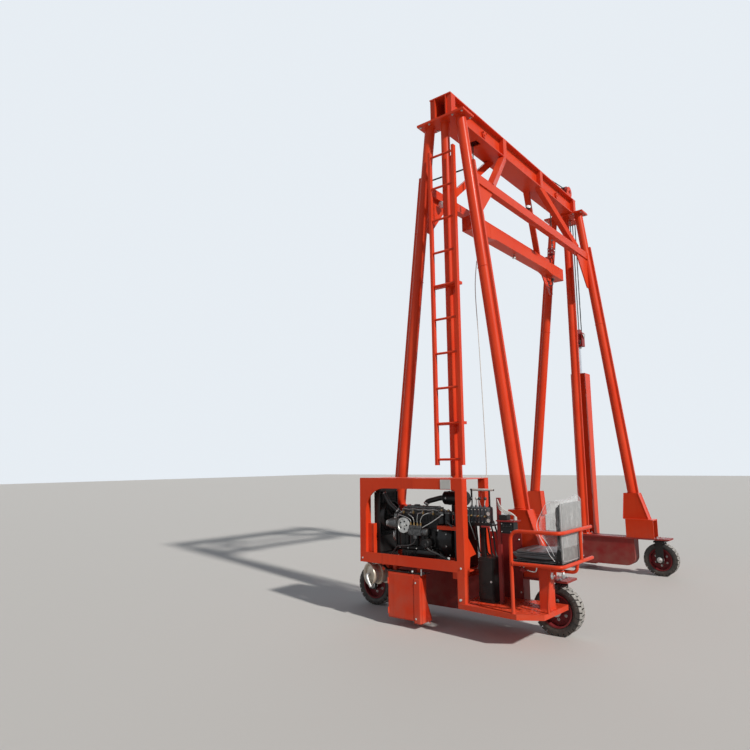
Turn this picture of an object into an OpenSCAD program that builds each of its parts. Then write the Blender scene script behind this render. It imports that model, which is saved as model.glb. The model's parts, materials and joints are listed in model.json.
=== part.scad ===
// Straddle carrier: one self-propelled lifting portal on four solid-tyred wheels.
// +X runs along travel, towards the operator's seat. +Y runs across the span, away
// from the engine side. +Z is up, and z = 0 is the ground.

/* [Portal] */
// Distance between the planes of the two side frames
span = 3600; // [3400:20:3800]
// Height of the head plates' undersides, where the legs end
leg_top_z = 5430; // [5280:10:5560]
// Half the spread of a side frame's legs under the head plate
leg_top_out = 205; // [190:5:230]
// Half the spread of a side frame's legs at their feet
leg_foot_out = 772; // [750:2:780]
// Diameter of a leg's tube
leg_d = 120; // [100:5:130]
// Wall of a leg's tube
leg_wall = 10; // [6:1:14]
// Width of the square tube that doubles each leg from the ties down
strip_w = 34; // [30:2:42]
// Diameter of the centre columns
col_w = 100; // [90:5:110]
// Height of the flared foot plates on the legs
foot_h = 360; // [320:10:380]
// Width of a flared foot plate at its lower edge
foot_w = 340; // [320:5:350]

/* [Top beam] */
// Depth of the top beam over its flanges
beam_h = 260; // [250:5:290]
// Width of the top beam's flanges
beam_w = 280; // [270:5:300]
// Distance between the outer faces of its two webs
beam_webs = 160; // [150:5:170]
// Thickness of its plates
beam_plate = 14; // [10:1:16]
// Distance of the stiffeners and knee braces from mid-span
stiff_y = 570; // [540:10:620]
// Thickness of a head plate
head_t = 25; // [20:1:30]
// Length of a head plate along travel
head_l = 620; // [600:10:660]
// Width of a head plate across the span
head_w = 240; // [220:10:260]

/* [Ties and braces] */
// Height of the ties' centre line
tie_z = 4700; // [4650:10:4750]
// Depth of a tie
tie_h = 105; // [90:5:120]
// Width of a tie
tie_w = 80; // [70:5:90]
// Distance from mid-span of the knee braces' lower ends
knee_y = 1300; // [1260:10:1340]
// Width of a knee brace
knee_w = 80; // [70:5:90]
// Length of the gussets under the ties' ends
gusset_l = 430; // [380:10:440]
// Height of the gussets under the ties' ends
gusset_h = 450; // [400:10:460]

/* [Base] */
// Half the wheelbase
wheel_x = 1060; // [1040:5:1100]
// Height of the base beams' undersides
base_z = 110; // [100:5:130]
// Height of the upper face of the base plates
plate_z = 500; // [495:1:510]
// Thickness of a base plate
plate_t = 20; // [16:1:22]
// Width of a base plate
plate_w = 240; // [220:5:250]
// Width of a base beam
base_w = 200; // [180:5:210]
// Length of a base beam's box
base_l = 1480; // [1440:10:1500]
// Radius of a base beam's lower corners
end_r = 120; // [100:5:130]
// Height of the open bracket boxes under the legs
box_h = 250; // [240:5:260]
// Length of a bracket box along travel
box_l = 370; // [350:5:380]

/* [Wheels] */
// Radius of a tyre
tyre_r = 220; // [216:1:224]
// Width of a tyre
tyre_w = 150; // [140:2:156]
// Radius of the rim that the tyre sits on
rim_r = 150; // [140:2:160]
// Radius of an axle
axle_r = 22; // [18:1:26]
// Clearance between an axle and its bore
running = 0.05; // [0.03:0.01:0.09]
// Gap between turning faces
gap = 0.3; // [0.3:0.1:0.6]

/* [Hoist] */
// Length of the lifting beam
lift_l = 2720; // [2680:10:2780]
// Depth of the lifting beam's end blocks
lift_h = 170; // [160:5:190]
// Depth of the lifting beam between its end blocks
lift_mid = 120; // [110:5:130]
// Length of an end block
lift_end = 430; // [400:10:450]
// Width of the lifting beam
lift_w = 150; // [130:5:170]
// Height of the lifting beam's centre line
lift_z = 4360; // [4320:10:4400]
// Distance of the hoist ropes from the lifting beam's ends
fall_in = 230; // [200:10:260]
// Distance of each rope from the middle plane
rope_x = 20; // [18:1:24]
// Radius of a rope
rope_r = 8; // [6:1:9]
// Radius of a sheave at the bottom of its grooves
sheave_r = 84; // [78:1:88]
// Radius of the free bores in the lifting beam's lower lugs
lug_r = 15; // [12:1:18]
// Radius of a shackle's bow
bow_r = 30; // [28:1:34]

/* [Mast] */
// Height of the mast channel's top
mast_z = 2920; // [2860:10:2980]
// Width of the mast channel
mast_w = 220; // [200:5:240]
// Depth of the mast channel
mast_d = 230; // [220:5:250]
// Thickness of the mast channel's plates
mast_t = 12; // [8:1:14]
// Radius of the lifting cylinder
barrel_r = 62; // [56:1:68]
// Radius of its rod
rod_r = 32; // [28:1:36]
// Height of the crosshead's pin
cross_z = 3520; // [3480:10:3560]

/* [Engine frame] */
// Where the frame ends towards the front
bay_x0 = -778; // [-800:2:-760]
// Where the frame ends towards the operator
bay_x1 = 454; // [440:2:480]
// Height of the frame's lower edge
bay_z0 = 570; // [570:1:590]
// Height of the frame's upper edge
bay_z1 = 1415; // [1380:5:1440]
// Distance of the frame's outer face from the side frame's plane
bay_out = 640; // [620:5:660]
// Depth of its upper and lower beams
bay_beam = 100; // [90:5:110]
// Width of its posts
bay_post = 75; // [65:5:85]
// Thickness of its face plates
bay_t = 14; // [10:1:16]
// Radius of the gusset in its upper front corner
bay_arc = 240; // [210:10:260]
// Length of the engine block
eng_l = 540; // [500:10:560]
// Width of the engine block
eng_w = 260; // [240:10:280]
// Height of the engine block
eng_h = 330; // [300:10:350]
// Radius of the silencer's drum
silencer_r = 94; // [88:2:100]
// How far its axis is turned towards the front, in degrees
silencer_turn = 20; // [14:1:26]
// Length of the hanging box along travel
hang_l = 380; // [360:10:400]
// Height of the hanging box
hang_h = 430; // [400:5:440]
// Depth of the hanging box across the span
hang_w = 110; // [100:5:125]

/* [Operator] */
// Height of the platform
deck_z = 300; // [290:5:310]
// Thickness of the platform's folded edge
deck_t = 45; // [35:5:50]
// Height of the seat's upper face
seat_z = 810; // [795:5:825]
// Side of the seat cushion
seat_w = 475; // [460:5:480]
// Thickness of the seat cushion
seat_t = 110; // [100:5:120]
// Where the seat's front edge stands along travel
seat_x = 888; // [880:2:892]
// Gap between the seat cushion and the leg's box behind it
seat_gap = 3; // [2:1:10]
// Height of the seat back
back_h = 410; // [390:5:430]
// Radius of the guard rail's tube
rail_r = 16; // [14:1:18]
// Height of the guard rail's upper tube
rail_z = 980; // [960:5:1000]
// Height of the guard rail's lower tube
rail_low_z = 710; // [700:2:720]
// Where the guard rail's upright stands along travel
rail_x0 = 945; // [930:5:960]
// Where the guard rail's rear corner stands
rail_x1 = 1390; // [1385:5:1410]
// Distance of the guard rail from the side frame's plane
rail_out = 680; // [670:2:690]
// How far in from the near side's line the rail's free ends stand
rail_end = 20; // [0:5:40]
// How far out from that line its rear post stands
rail_post = 240; // [220:5:260]
// Height of the console's tray
tray_z = 980; // [960:5:1000]

/* [Ladder] */
// Number of rungs
rungs = 10; // [9:1:10]
// Distance between rungs
rung_step = 378; // [370:2:380]
// Height of the lowest rung
rung_z = 1600; // [1580:5:1640]
// Width of the ladder over its stiles
ladder_w = 340; // [320:5:360]

/* [Hidden] */
$fn = 48;
side_y = span / 2;
head_z = leg_top_z + head_t;
beam_top = head_z + beam_h;
box_z = plate_z + box_h;
box_x = leg_foot_out - 132;
lean = (leg_foot_out - leg_top_out) / (leg_top_z - box_z);
lean_a = atan(lean);
beam_half = side_y + 100;
fall_r = sheave_r + rope_r;
fall_y = lift_l / 2 - fall_in;
sheave_z = head_z + beam_h / 2;
near_sheave_y = -fall_y + fall_r;
far_sheave_y = fall_y + fall_r;
mast_y0 = side_y + plate_w / 2;
mast_y = mast_y0 + mast_d / 2 + 6;
cross_r = 100;
mast_fall_in = mast_y - cross_r - rope_r;
mast_fall_out = mast_y + cross_r + rope_r;
bracket_y = mast_fall_in - fall_r;
bracket_z = beam_top + 150;
near_rise = atan2(bracket_z - sheave_z, bracket_y - near_sheave_y);
far_rise = atan2(bracket_z - sheave_z, bracket_y - far_sheave_y);
bay_y = -side_y - bay_out;
bay_in = -side_y - plate_w / 2 - 10;
bay_floor = bay_z0 + 12;
eng_y = (bay_y + bay_in) / 2;
eng_x0 = -eng_l * 7 / 9;
eng_x1 = eng_x0 + eng_l;
deck_in = -side_y - base_w / 2;
seat_y = -side_y - plate_w / 2 + 10 - seat_gap - seat_w / 2;
cons_y = bay_y + 240;
tyre_z = tyre_r;
kingpin_r = 28;
pin_r = 25;
web_pin = beam_webs / 2 + 20;
foot_t = leg_d + 20;
bow_pin_r = 14;
bow_t = 9;
ring_r = 62;
ring_t = 10;
shackle_y = fall_y - 80;
shackle_drop = 48;
lug_step = 80;
lift_low = lift_z - lift_h / 2;
ring_low = lift_z + lift_h / 2 + 40;
socket_z = ring_low + 2 * ring_r;
EDGES = [1, -1];
CORNERS = [["near_front", -1, -1], ["near_rear", 1, -1], ["far_front", -1, 1], ["far_rear", 1, 1]];
ORANGE = [0.80, 0.20, 0.08];
DARK_RED = [0.45, 0.08, 0.07];
BLACK = [0.08, 0.08, 0.09];
STEEL = [0.7, 0.7, 0.72];

// A cylinder along Y, from y0 to y1
module rod_y(r, y0, y1) {
    translate([0, y0, 0]) rotate([-90, 0, 0]) cylinder(r = r, h = y1 - y0);
}

// A cylinder along X, from x0 to x1
module rod_x(r, x0, x1) {
    translate([x0, 0, 0]) rotate([0, 90, 0]) cylinder(r = r, h = x1 - x0);
}

// A box given by its two corners
module block(a, b) {
    translate(a) cube(b - a);
}

// A square bar along the line from p to q, longer than it at both ends
module strut(p, q, w) {
    v = q - p;
    translate(p) rotate([0, acos(v[2] / norm(v)), atan2(v[1], v[0])])
        translate([-w / 2, -w / 2, -2 * w]) cube([w, w, norm(v) + 4 * w]);
}

// The line of a leg: its distance from the column at a height
function leg_x(z) = leg_top_out + (leg_top_z - z) * lean;

// Half-spaces keep a leaning piece between two heights
module between(z0, z1) {
    intersection() {
        children();
        block([-2000, -side_y - 1000, z0], [2000, side_y + 1000, z1]);
    }
}

// A leg's round outline, grown for what fits round it
module leg_core(s, grow = 0) {
    reach = (leg_top_z - box_z) / cos(lean_a);
    translate([s * leg_foot_out, 0, box_z]) rotate([0, -s * lean_a, 0])
        translate([0, 0, -200]) cylinder(d = leg_d + 2 * grow, h = reach + 400);
}

// The square tube that doubles a leg, grown for what fits round it
module leg_strip(s, grow = 0) {
    w = strip_w / 2 + grow;
    translate([s * leg_foot_out, 0, box_z]) rotate([0, -s * lean_a, 0])
        translate([s * (leg_d / 2 - 4 + strip_w / 2), 0, -100])
            translate([-w, -w, 0]) cube([2 * w, 2 * w, 100 + (tie_z + 150 - box_z) / cos(lean_a)]);
}

// A leg of tube with a flared foot, and the square tube that doubles it from the ties down
module leg(s, side) {
    reach = (leg_top_z - box_z) / cos(lean_a);
    top = box_z + foot_h;
    color(ORANGE) translate([0, side * side_y, 0]) {
        between(box_z, leg_top_z) difference() {
            leg_core(s);
            translate([s * leg_foot_out, 0, box_z]) rotate([0, -s * lean_a, 0])
                translate([0, 0, -300]) cylinder(d = leg_d - 2 * leg_wall, h = reach + 600);
        }
        between(box_z, leg_top_z) leg_strip(s);
        difference() {
            translate([0, foot_t / 2, 0]) rotate([90, 0, 0]) linear_extrude(foot_t) polygon([
                [s * leg_foot_out - foot_w / 2, box_z], [s * leg_foot_out + foot_w / 2, box_z],
                [s * leg_x(top) + leg_d * 0.8, top], [s * leg_x(top) - leg_d * 0.8, top]]);
            translate([s * leg_foot_out, 0, box_z]) rotate([0, -s * lean_a, 0])
                translate([0, 0, -300]) cylinder(d = leg_d - 2 * leg_wall, h = reach + 600);
        }
    }
}

// A centre column between its base plate and its head plate, doubled on one side
module column(side) {
    color(ORANGE) translate([0, side * side_y, plate_z]) {
        cylinder(d = col_w, h = leg_top_z - plate_z);
        block([col_w / 2 - 4, -16, 0], [col_w / 2 + 28, 16, tie_z + 300 - plate_z]);
    }
}

// The round outline that is cut from what meets a column
module column_core(side) {
    translate([0, side * side_y, 0]) cylinder(d = col_w + 0.2, h = leg_top_z);
}

// Top beam: two webs between wide flanges, with full-depth stiffeners
module top_beam() {
    w = beam_w / 2;
    web = beam_webs / 2;
    color(ORANGE) difference() {
        union() {
            block([-w, -beam_half, head_z], [w, beam_half, head_z + beam_plate]);
            block([-w, -beam_half, beam_top - beam_plate], [w, beam_half, beam_top]);
            for (s = EDGES) {
                block([s * web - (s > 0 ? beam_plate : 0), -beam_half, head_z],
                      [s * web + (s > 0 ? 0 : beam_plate), beam_half, beam_top]);
                for (y = [-beam_half + 60, -stiff_y, stiff_y, beam_half - 60])
                    translate([s > 0 ? web - 1 : -w, y - 45, head_z]) cube([w - web + 1, 90, beam_h]);
            }
            for (y = [near_sheave_y, far_sheave_y], s = EDGES) translate([0, y, sheave_z])
                rod_x(45, s > 0 ? web - 1 : -web - 20, s > 0 ? web + 20 : -web + 1);
        }
        for (y = [near_sheave_y, far_sheave_y])
            translate([0, y, sheave_z]) rod_x(pin_r, -beam_webs, beam_webs);
        for (y = [-fall_y, fall_y])
            block([-60, y - 60, head_z - 1], [60, y + 60, head_z + beam_plate + 1]);
        block([-rope_x - 14, rope_y(-30, near_sheave_y, near_rise), beam_top - beam_plate - 1],
              [-rope_x + 14, rope_y(20, near_sheave_y, near_rise), beam_top + 1]);
        block([rope_x - 14, rope_y(-30, far_sheave_y, far_rise), beam_top - beam_plate - 1],
              [rope_x + 14, rope_y(20, far_sheave_y, far_rise), beam_top + 1]);
    }
}

// Where a rising rope comes to a height above the beam's top
function rope_y(z, y, rise) =
    y - fall_r * sin(rise) + (beam_top + z - sheave_z - fall_r * cos(rise)) / tan(rise);

// Head plates: the flat tops of the side frames, and the bracket for the mast ropes' ends
module head_plates() {
    y0 = side_y + head_w / 2;
    color(ORANGE) {
        block([-head_l / 2, -y0, leg_top_z], [head_l / 2, -side_y + head_w / 2, head_z]);
        difference() {
            union() {
                block([-head_l / 2, side_y - head_w / 2, leg_top_z], [head_l / 2, y0, head_z]);
                block([-80, y0 - 1, leg_top_z], [80, mast_fall_out + 40, head_z]);
                for (s = EDGES) translate([s * rope_x, mast_fall_out, head_z - 1])
                    cylinder(r = rope_r + 8, h = 41);
            }
            block([-45, mast_fall_in - rope_r - 8, leg_top_z - 1], [45, mast_fall_in + 40, head_z + 1]);
            for (s = EDGES) translate([s * rope_x, mast_fall_out, leg_top_z - 1])
                cylinder(r = rope_r + gap, h = head_t + 50);
        }
    }
}

// Sheave bracket: two round-topped cheeks over the far end of the beam
module sheave_bracket() {
    x0 = beam_webs / 2 - 18;
    color(ORANGE) for (s = EDGES) translate([s > 0 ? x0 : -x0 - 14, 0, 0]) difference() {
        union() {
            rotate([90, 0, 90]) linear_extrude(14) polygon([
                [bracket_y - 170, beam_top], [beam_half, beam_top], [beam_half, beam_top + 60],
                [bracket_y + 70, bracket_z + 40], [bracket_y - 75, bracket_z + 40]]);
            translate([0, bracket_y, bracket_z]) rod_x(88, 0, 14);
        }
        translate([0, bracket_y, bracket_z]) rod_x(pin_r, -1, 15);
    }
}

// A sheave on its pin, turning about X, with a groove at each x in the list
module sheave(grooves, y, z, r, pin_half) {
    color(DARK_RED) translate([0, y, z]) {
        difference() {
            union() {
                rod_x(48, -50, 50);
                for (x = grooves) rod_x(r + 18, x - 18, x + 18);
            }
            for (x = grooves) translate([x, 0, 0]) rotate([0, 90, 0])
                rotate_extrude($fn = 64) groove_outline(r);
        }
        rod_x(pin_r - running, -pin_half, pin_half);
    }
}

// A groove's outline: round at the bottom, open outwards
module groove_outline(r) {
    translate([r + rope_r, 0]) circle(r = rope_r + gap, $fn = 24);
    translate([r + rope_r, -rope_r - gap]) square([30, 2 * (rope_r + gap)]);
}

// Ties: two box beams across the span, with gussets down the legs' inner sides
module ties() {
    z1 = tie_z - tie_h / 2 + 1;
    y1 = side_y - leg_d / 2;
    color(ORANGE) for (s = EDGES) difference() {
        union() {
            block([s * leg_x(tie_z) - tie_w / 2, -side_y, tie_z - tie_h / 2],
                  [s * leg_x(tie_z) + tie_w / 2, side_y, tie_z + tie_h / 2]);
            for (e = EDGES) translate([s * (leg_x(tie_z) + 15) - 8, 0, 0]) rotate([90, 0, 90])
                linear_extrude(16) polygon([
                    [e * (side_y - 20), z1], [e * (y1 - gusset_l), z1],
                    [e * (y1 - 40), z1 - gusset_h], [e * (side_y - 20), z1 - gusset_h]]);
        }
        for (e = EDGES) translate([0, e * side_y, 0]) {
            leg_core(s, gap);
            leg_strip(s, gap);
        }
    }
}

// Knee braces: from the top beam's stiffeners down and out to the ties
module knee_braces() {
    z0 = tie_z + tie_h / 2;
    color(ORANGE) for (s = EDGES, e = EDGES) between(z0, head_z)
        strut([s * leg_x(tie_z), e * knee_y, z0], [s * (beam_w - knee_w) / 2, e * stiff_y, head_z], knee_w);
}

// Ladder on the outer face of the engine side's frame
module ladder() {
    y = -side_y - leg_d / 2 - 40;
    z0 = rung_z - 60;
    z1 = rung_z + (rungs - 1) * rung_step + 60;
    color(ORANGE) {
        for (s = EDGES)
            block([s * (ladder_w / 2 - 15) - 15, y - 25, z0], [s * (ladder_w / 2 - 15) + 15, y + 25, z1]);
        for (i = [0:rungs - 1]) translate([0, y, rung_z + i * rung_step])
            rod_x(13, -ladder_w / 2 + 20, ladder_w / 2 - 20);
        difference() {
            for (i = [1, rungs - 5])
                block([-ladder_w / 2, y + 24, rung_z + i * rung_step - 15],
                      [ladder_w / 2, -side_y - 20, rung_z + i * rung_step + 15]);
            column_core(-1);
        }
    }
}

// Base beams: a box beam with rounded lower ends under a long base plate, on each side
module base_beams() {
    h = plate_z - plate_t - base_z;
    l = base_l / 2;
    color(DARK_RED) for (e = EDGES) translate([0, e * side_y, 0]) difference() {
        union() {
            block([-wheel_x - 140, -plate_w / 2, plate_z - plate_t], [wheel_x + 140, plate_w / 2, plate_z]);
            translate([0, base_w / 2, 0]) rotate([90, 0, 0]) linear_extrude(base_w) polygon(concat(
                [[-l, base_z + h], [l, base_z + h]],
                [for (a = [0:-15:-90]) [l + end_r * (cos(a) - 1), base_z + end_r * (1 + sin(a))]],
                [for (a = [-90:-15:-180]) [-l + end_r * (1 + cos(a)), base_z + end_r * (1 + sin(a))]]));
        }
        translate([-wheel_x, 0, 0]) cylinder(r = kingpin_r + gap, h = 2000);
    }
}

// Leg boxes: open brackets that stand on the base plates and carry the legs
module leg_boxes() {
    color(ORANGE) for (s = EDGES, e = EDGES) translate([0, e * side_y, plate_z]) {
        x0 = min(s * box_x, s * (box_x + box_l));
        for (y = [-plate_w / 2 + 10, plate_w / 2 - 24])
            block([x0, y, 0], [x0 + box_l, y + 14, box_h - 16]);
        block([s > 0 ? x0 : x0 + box_l - 14, -plate_w / 2 + 10, 0],
              [s > 0 ? x0 + 14 : x0 + box_l, plate_w / 2 - 10, box_h]);
        block([x0, -plate_w / 2 + 10, box_h - 16], [x0 + box_l, plate_w / 2 - 10, box_h]);
    }
}

// Engine frame: a picture frame of plate on the outside, posts, floor and top plate
module engine_frame() {
    z0 = bay_z0 + bay_beam;
    z1 = bay_z1 - bay_beam;
    x0 = bay_x0 + bay_post;
    x1 = bay_x1 - bay_post;
    y1 = bay_y + bay_t - 1;
    color(ORANGE) {
        translate([0, bay_y + bay_t, 0]) rotate([90, 0, 0]) linear_extrude(bay_t) difference() {
            polygon([[bay_x0, bay_z0], [bay_x1, bay_z0], [bay_x1, bay_z1], [bay_x0, bay_z1]]);
            polygon(concat([[x0, z0], [x1, z0], [x1, z1]],
                [for (a = [90:10:180]) [x0 + bay_arc + bay_arc * cos(a), z1 - bay_arc + bay_arc * sin(a)]]));
        }
        block([bay_x0, y1, z1], [bay_x1, bay_y + 90, z1 + 12]);
        block([bay_x0, y1, bay_z1 - 6], [bay_x1, bay_in, bay_z1]);
        block([bay_x0, y1, bay_z0], [bay_x1, bay_in, bay_floor]);
        for (x = [bay_x0, bay_x1 - bay_post], y = [y1, bay_in - bay_post])
            block([x, y, bay_z0], [x + bay_post, y + bay_post, bay_z1]);
        for (x = [bay_x0 + 240, bay_x1 - 160])
            block([x, bay_y + 60, plate_z], [x + 80, -side_y + plate_w / 2, bay_z0 + 1]);
        block([bay_x1 - bay_post, bay_y, deck_z], [bay_x1, bay_y + bay_post, bay_z0 + 1]);
        block([x0 - 1, bay_y + 40, bay_z0], [x0 + bay_post, bay_y + 90, bay_z0 + 385]);
    }
    color(ORANGE) translate([bay_x1 - 14, bay_y, 0]) rotate([90, 0, 90]) linear_extrude(14)
        polygon([[0, bay_z0 + 410], [225, bay_z0 + 145], [116, bay_z0 + 130],
                 [87, bay_z0 - 34], [0, bay_z0 - 34]]);
}

// Engine: block, head, flywheel housing and pulleys, as one plain mass
module engine_block() {
    w = eng_w / 2;
    z0 = bay_floor + 90;
    z1 = z0 + eng_h;
    color(BLACK) {
        block([eng_x0, eng_y - w, z0], [eng_x1, eng_y + w, z1]);
        block([eng_x0 + 20, eng_y - w + 30, z1 - 1], [eng_x1 - 20, eng_y + w - 30, z1 + 140]);
        block([eng_x0 + 60, eng_y - w - 30, bay_floor], [eng_x1 - 60, eng_y + w + 20, z0 + 1]);
        translate([0, eng_y, z0 + eng_h / 2]) rod_x(eng_h * 0.55, eng_x1 - 1, eng_x1 + 140);
        translate([0, eng_y, z0 + eng_h / 2]) rod_x(eng_h / 3, eng_x0 - 50, eng_x0 + 1);
        translate([eng_x0 + eng_l * 0.3, 0, z0 + eng_h * 0.72])
            rod_y(eng_w * 0.2, eng_y - w - 60, eng_y - w + 1);
    }
}

// Radiator at the front of the engine
module radiator() {
    color(BLACK) block([bay_x0 + 110, eng_y - 160, bay_floor], [bay_x0 + 190, eng_y + 160, bay_z1 - 60]);
}

// Fluid tank beside the flywheel
module fluid_tank() {
    x1 = bay_x1 - bay_post - 6;
    color(BLACK) block([x1 - 76, eng_y - 150, bay_floor], [x1, eng_y + 150, bay_floor + 500]);
}

// Silencer: a ringed drum under the frame's front corner
module silencer() {
    r = silencer_r;
    color(STEEL) translate([bay_x0 + 109, bay_y + 150, bay_z0 - r - 34]) rotate([0, 0, -silencer_turn]) {
        rod_y(r, -100, 100);
        for (y = [-110, -10, 84]) rod_y(r + 14, y, y + 24);
        block([-10, -60, r - 4], [10, -20, r + 34]);
    }
}

// Hanging box under the frame, with its corner column and foot
module hanging_box() {
    z0 = bay_z0 - 65 - hang_h;
    z1 = bay_z0 - 65;
    x0 = -hang_l - 40;
    color(ORANGE) {
        block([x0, bay_y, z0], [-40, bay_y + hang_w, z1]);
        for (x = [x0 + 20, -110]) block([x, bay_y + 60, z1 - 1], [x + 40, bay_y + hang_w - 30, bay_z0]);
        block([-105, bay_y - 6, z0 - 18], [-34, bay_y + hang_w - 8, z1 - 36]);
        translate([-35, bay_y + hang_w - 8, z0 - 18]) rotate([90, 0, 0]) linear_extrude(14)
            polygon([[0, 0], [58, 26], [52, 64], [0, 215]]);
    }
}

// Inner panel behind the operator's legs, and the post with its shelf
module inner_panel() {
    y = -side_y - plate_w / 2;
    x = bay_x1 + 246;
    color(DARK_RED) {
        block([bay_x1, y - 12, deck_z], [bay_x1 + 330, y, deck_z + 600]);
        block([x - 16, cons_y - 16, deck_z], [x + 16, cons_y + 16, tray_z + 260]);
        block([x, cons_y - 70, tray_z + 50], [x + 180, cons_y + 70, tray_z + 62]);
    }
}

// Console: a cabinet, a tray, a valve block with levers, and a grab bar
module console() {
    x = bay_x1 + 78;
    color(BLACK) {
        block([x - 30, cons_y - 70, deck_z], [x + 120, cons_y + 110, tray_z - 280]);
        block([x - 22, cons_y - 22, tray_z - 281], [x + 22, cons_y + 22, tray_z + 1]);
        block([x - 152, cons_y - 80, tray_z], [x + 112, cons_y + 80, tray_z + 14]);
        block([x - 150, cons_y - 60, tray_z + 13], [x + 82, cons_y + 60, tray_z + 180]);
        for (i = [0:3]) translate([x - 98 + 45 * i, cons_y - 30, tray_z + 179]) cylinder(r = 6, h = 60);
        for (i = [0:3]) translate([x - 98 + 45 * i, cons_y - 30, tray_z + 250]) sphere(r = 16, $fn = 20);
        for (i = [-1, 1]) translate([x - 40 + 95 * i, cons_y + 35, tray_z + 179]) cylinder(r = 9, h = 149);
        translate([0, cons_y + 35, tray_z + 327]) rod_x(9, x - 146, x + 106);
    }
}

// Platform: a folded plate with a pointed end, tied to the base beam
module platform() {
    x0 = bay_x1 - bay_post;
    color(ORANGE) translate([0, 0, deck_z - deck_t]) linear_extrude(deck_t) polygon([[x0, bay_y],
        [rail_x0 + 40, bay_y - 70], [rail_x0 + 235, bay_y + 51], [rail_x0 + 248, deck_in], [x0, deck_in]]);
}

// Seat pedestal: a square post with a top plate
module seat_pedestal() {
    x = seat_x + seat_w / 2;
    z = seat_z - seat_t;
    color(ORANGE) {
        block([x - 60, seat_y - 60, deck_z], [x + 30, seat_y + 60, z - 14]);
        block([x - 140, seat_y - 140, z - 14], [x + 140, seat_y + 140, z]);
    }
}

// Seat cushion
module seat_cushion() {
    w = seat_w / 2;
    color(BLACK) block([seat_x, seat_y - w, seat_z - seat_t + gap], [seat_x + seat_w, seat_y + w, seat_z]);
}

// Seat back
module seat_back() {
    w = seat_w / 2;
    color(BLACK) block([seat_x + seat_w - 70, seat_y - w, seat_z + gap],
                       [seat_x + seat_w, seat_y + w, seat_z + back_h]);
}

// A tube along Z, X or Y for the guard rail, with a ball at its start
module rail_tube(p, q) {
    v = q - p;
    translate(p) rotate([0, acos(v[2] / norm(v)), atan2(v[1], v[0])]) cylinder(r = rail_r, h = norm(v));
    translate(p) sphere(r = rail_r);
}

// Guard rail round the seat
module guard_rail() {
    y0 = -side_y - rail_out;
    y1 = -side_y + rail_end;
    post_y = -side_y - rail_post;
    x0 = rail_x0;
    x1 = rail_x1;
    link_z = seat_z - seat_t - 70;
    color(ORANGE) {
        rail_tube([x0, y0, rail_z], [x0, y0, deck_z]);
        rail_tube([x0, y0, rail_z], [x1, y0, rail_z]);
        rail_tube([x1, y0, rail_z], [x1, y1, rail_z]);
        rail_tube([x0, y0, rail_low_z], [x1, y0, rail_low_z]);
        rail_tube([x1, y0, rail_low_z], [x1, y1, rail_low_z]);
        rail_tube([x1, post_y, rail_z], [x1, post_y, rail_low_z]);
        rail_tube([x1, seat_y, link_z], [seat_x + seat_w / 2 + 30, seat_y, link_z]);
        rail_tube([x1, seat_y, link_z], [x1, seat_y, rail_low_z]);
        for (z = [rail_z, rail_low_z]) translate([x1, y1, z]) sphere(r = rail_r);
    }
}

// Mast channel: a back plate and two sides, open outwards, with a foot and a head
module mast_channel() {
    y0 = mast_y0;
    color(ORANGE) {
        difference() {
            for (z = [900, 1800, 2700]) block([-40, side_y + 20, z], [40, y0 + 1, z + 60]);
            column_core(1);
        }
        block([-mast_w / 2, y0, base_z - 50], [mast_w / 2, y0 + mast_t, mast_z]);
        for (s = EDGES) block([s * mast_w / 2 - (s > 0 ? mast_t : 0), y0, base_z - 50],
            [s * mast_w / 2 + (s > 0 ? 0 : mast_t), y0 + mast_d, mast_z]);
        block([-mast_w / 2, y0, base_z - 50], [mast_w / 2, y0 + mast_d, base_z - 30]);
    }
}

// Barrel of the lifting cylinder, standing on the mast channel's foot
module cylinder_barrel() {
    color(BLACK) translate([0, mast_y, base_z - 30]) difference() {
        cylinder(r = barrel_r, h = mast_z - base_z - 10);
        translate([0, 0, 60]) cylinder(r = barrel_r - 14, h = mast_z - base_z - 130);
        translate([0, 0, 60]) cylinder(r = rod_r + running, h = mast_z);
    }
}

// Rod of the lifting cylinder, with its piston
module cylinder_rod() {
    color(STEEL) translate([0, mast_y, 0]) {
        translate([0, 0, mast_z - 1560]) cylinder(r = rod_r, h = cross_z - 130 - mast_z + 1560);
        translate([0, 0, mast_z - 1560]) cylinder(r = barrel_r - 14 - gap, h = 60);
    }
}

// Crosshead: two cheeks and a foot that hold the lower sheave on the rod
module crosshead() {
    color(DARK_RED) difference() {
        union() {
            block([-80, mast_y - 60, cross_z - 160], [80, mast_y + 60, cross_z - 130]);
            for (s = EDGES) block([s * 80 - (s > 0 ? 16 : 0), mast_y - 60, cross_z - 131],
                [s * 80 + (s > 0 ? 0 : 16), mast_y + 60, cross_z + 60]);
        }
        translate([0, mast_y, cross_z]) rod_x(25, -100, 100);
        translate([0, mast_y, cross_z - 200]) cylinder(r = rod_r + running, h = 70);
    }
}

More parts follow.
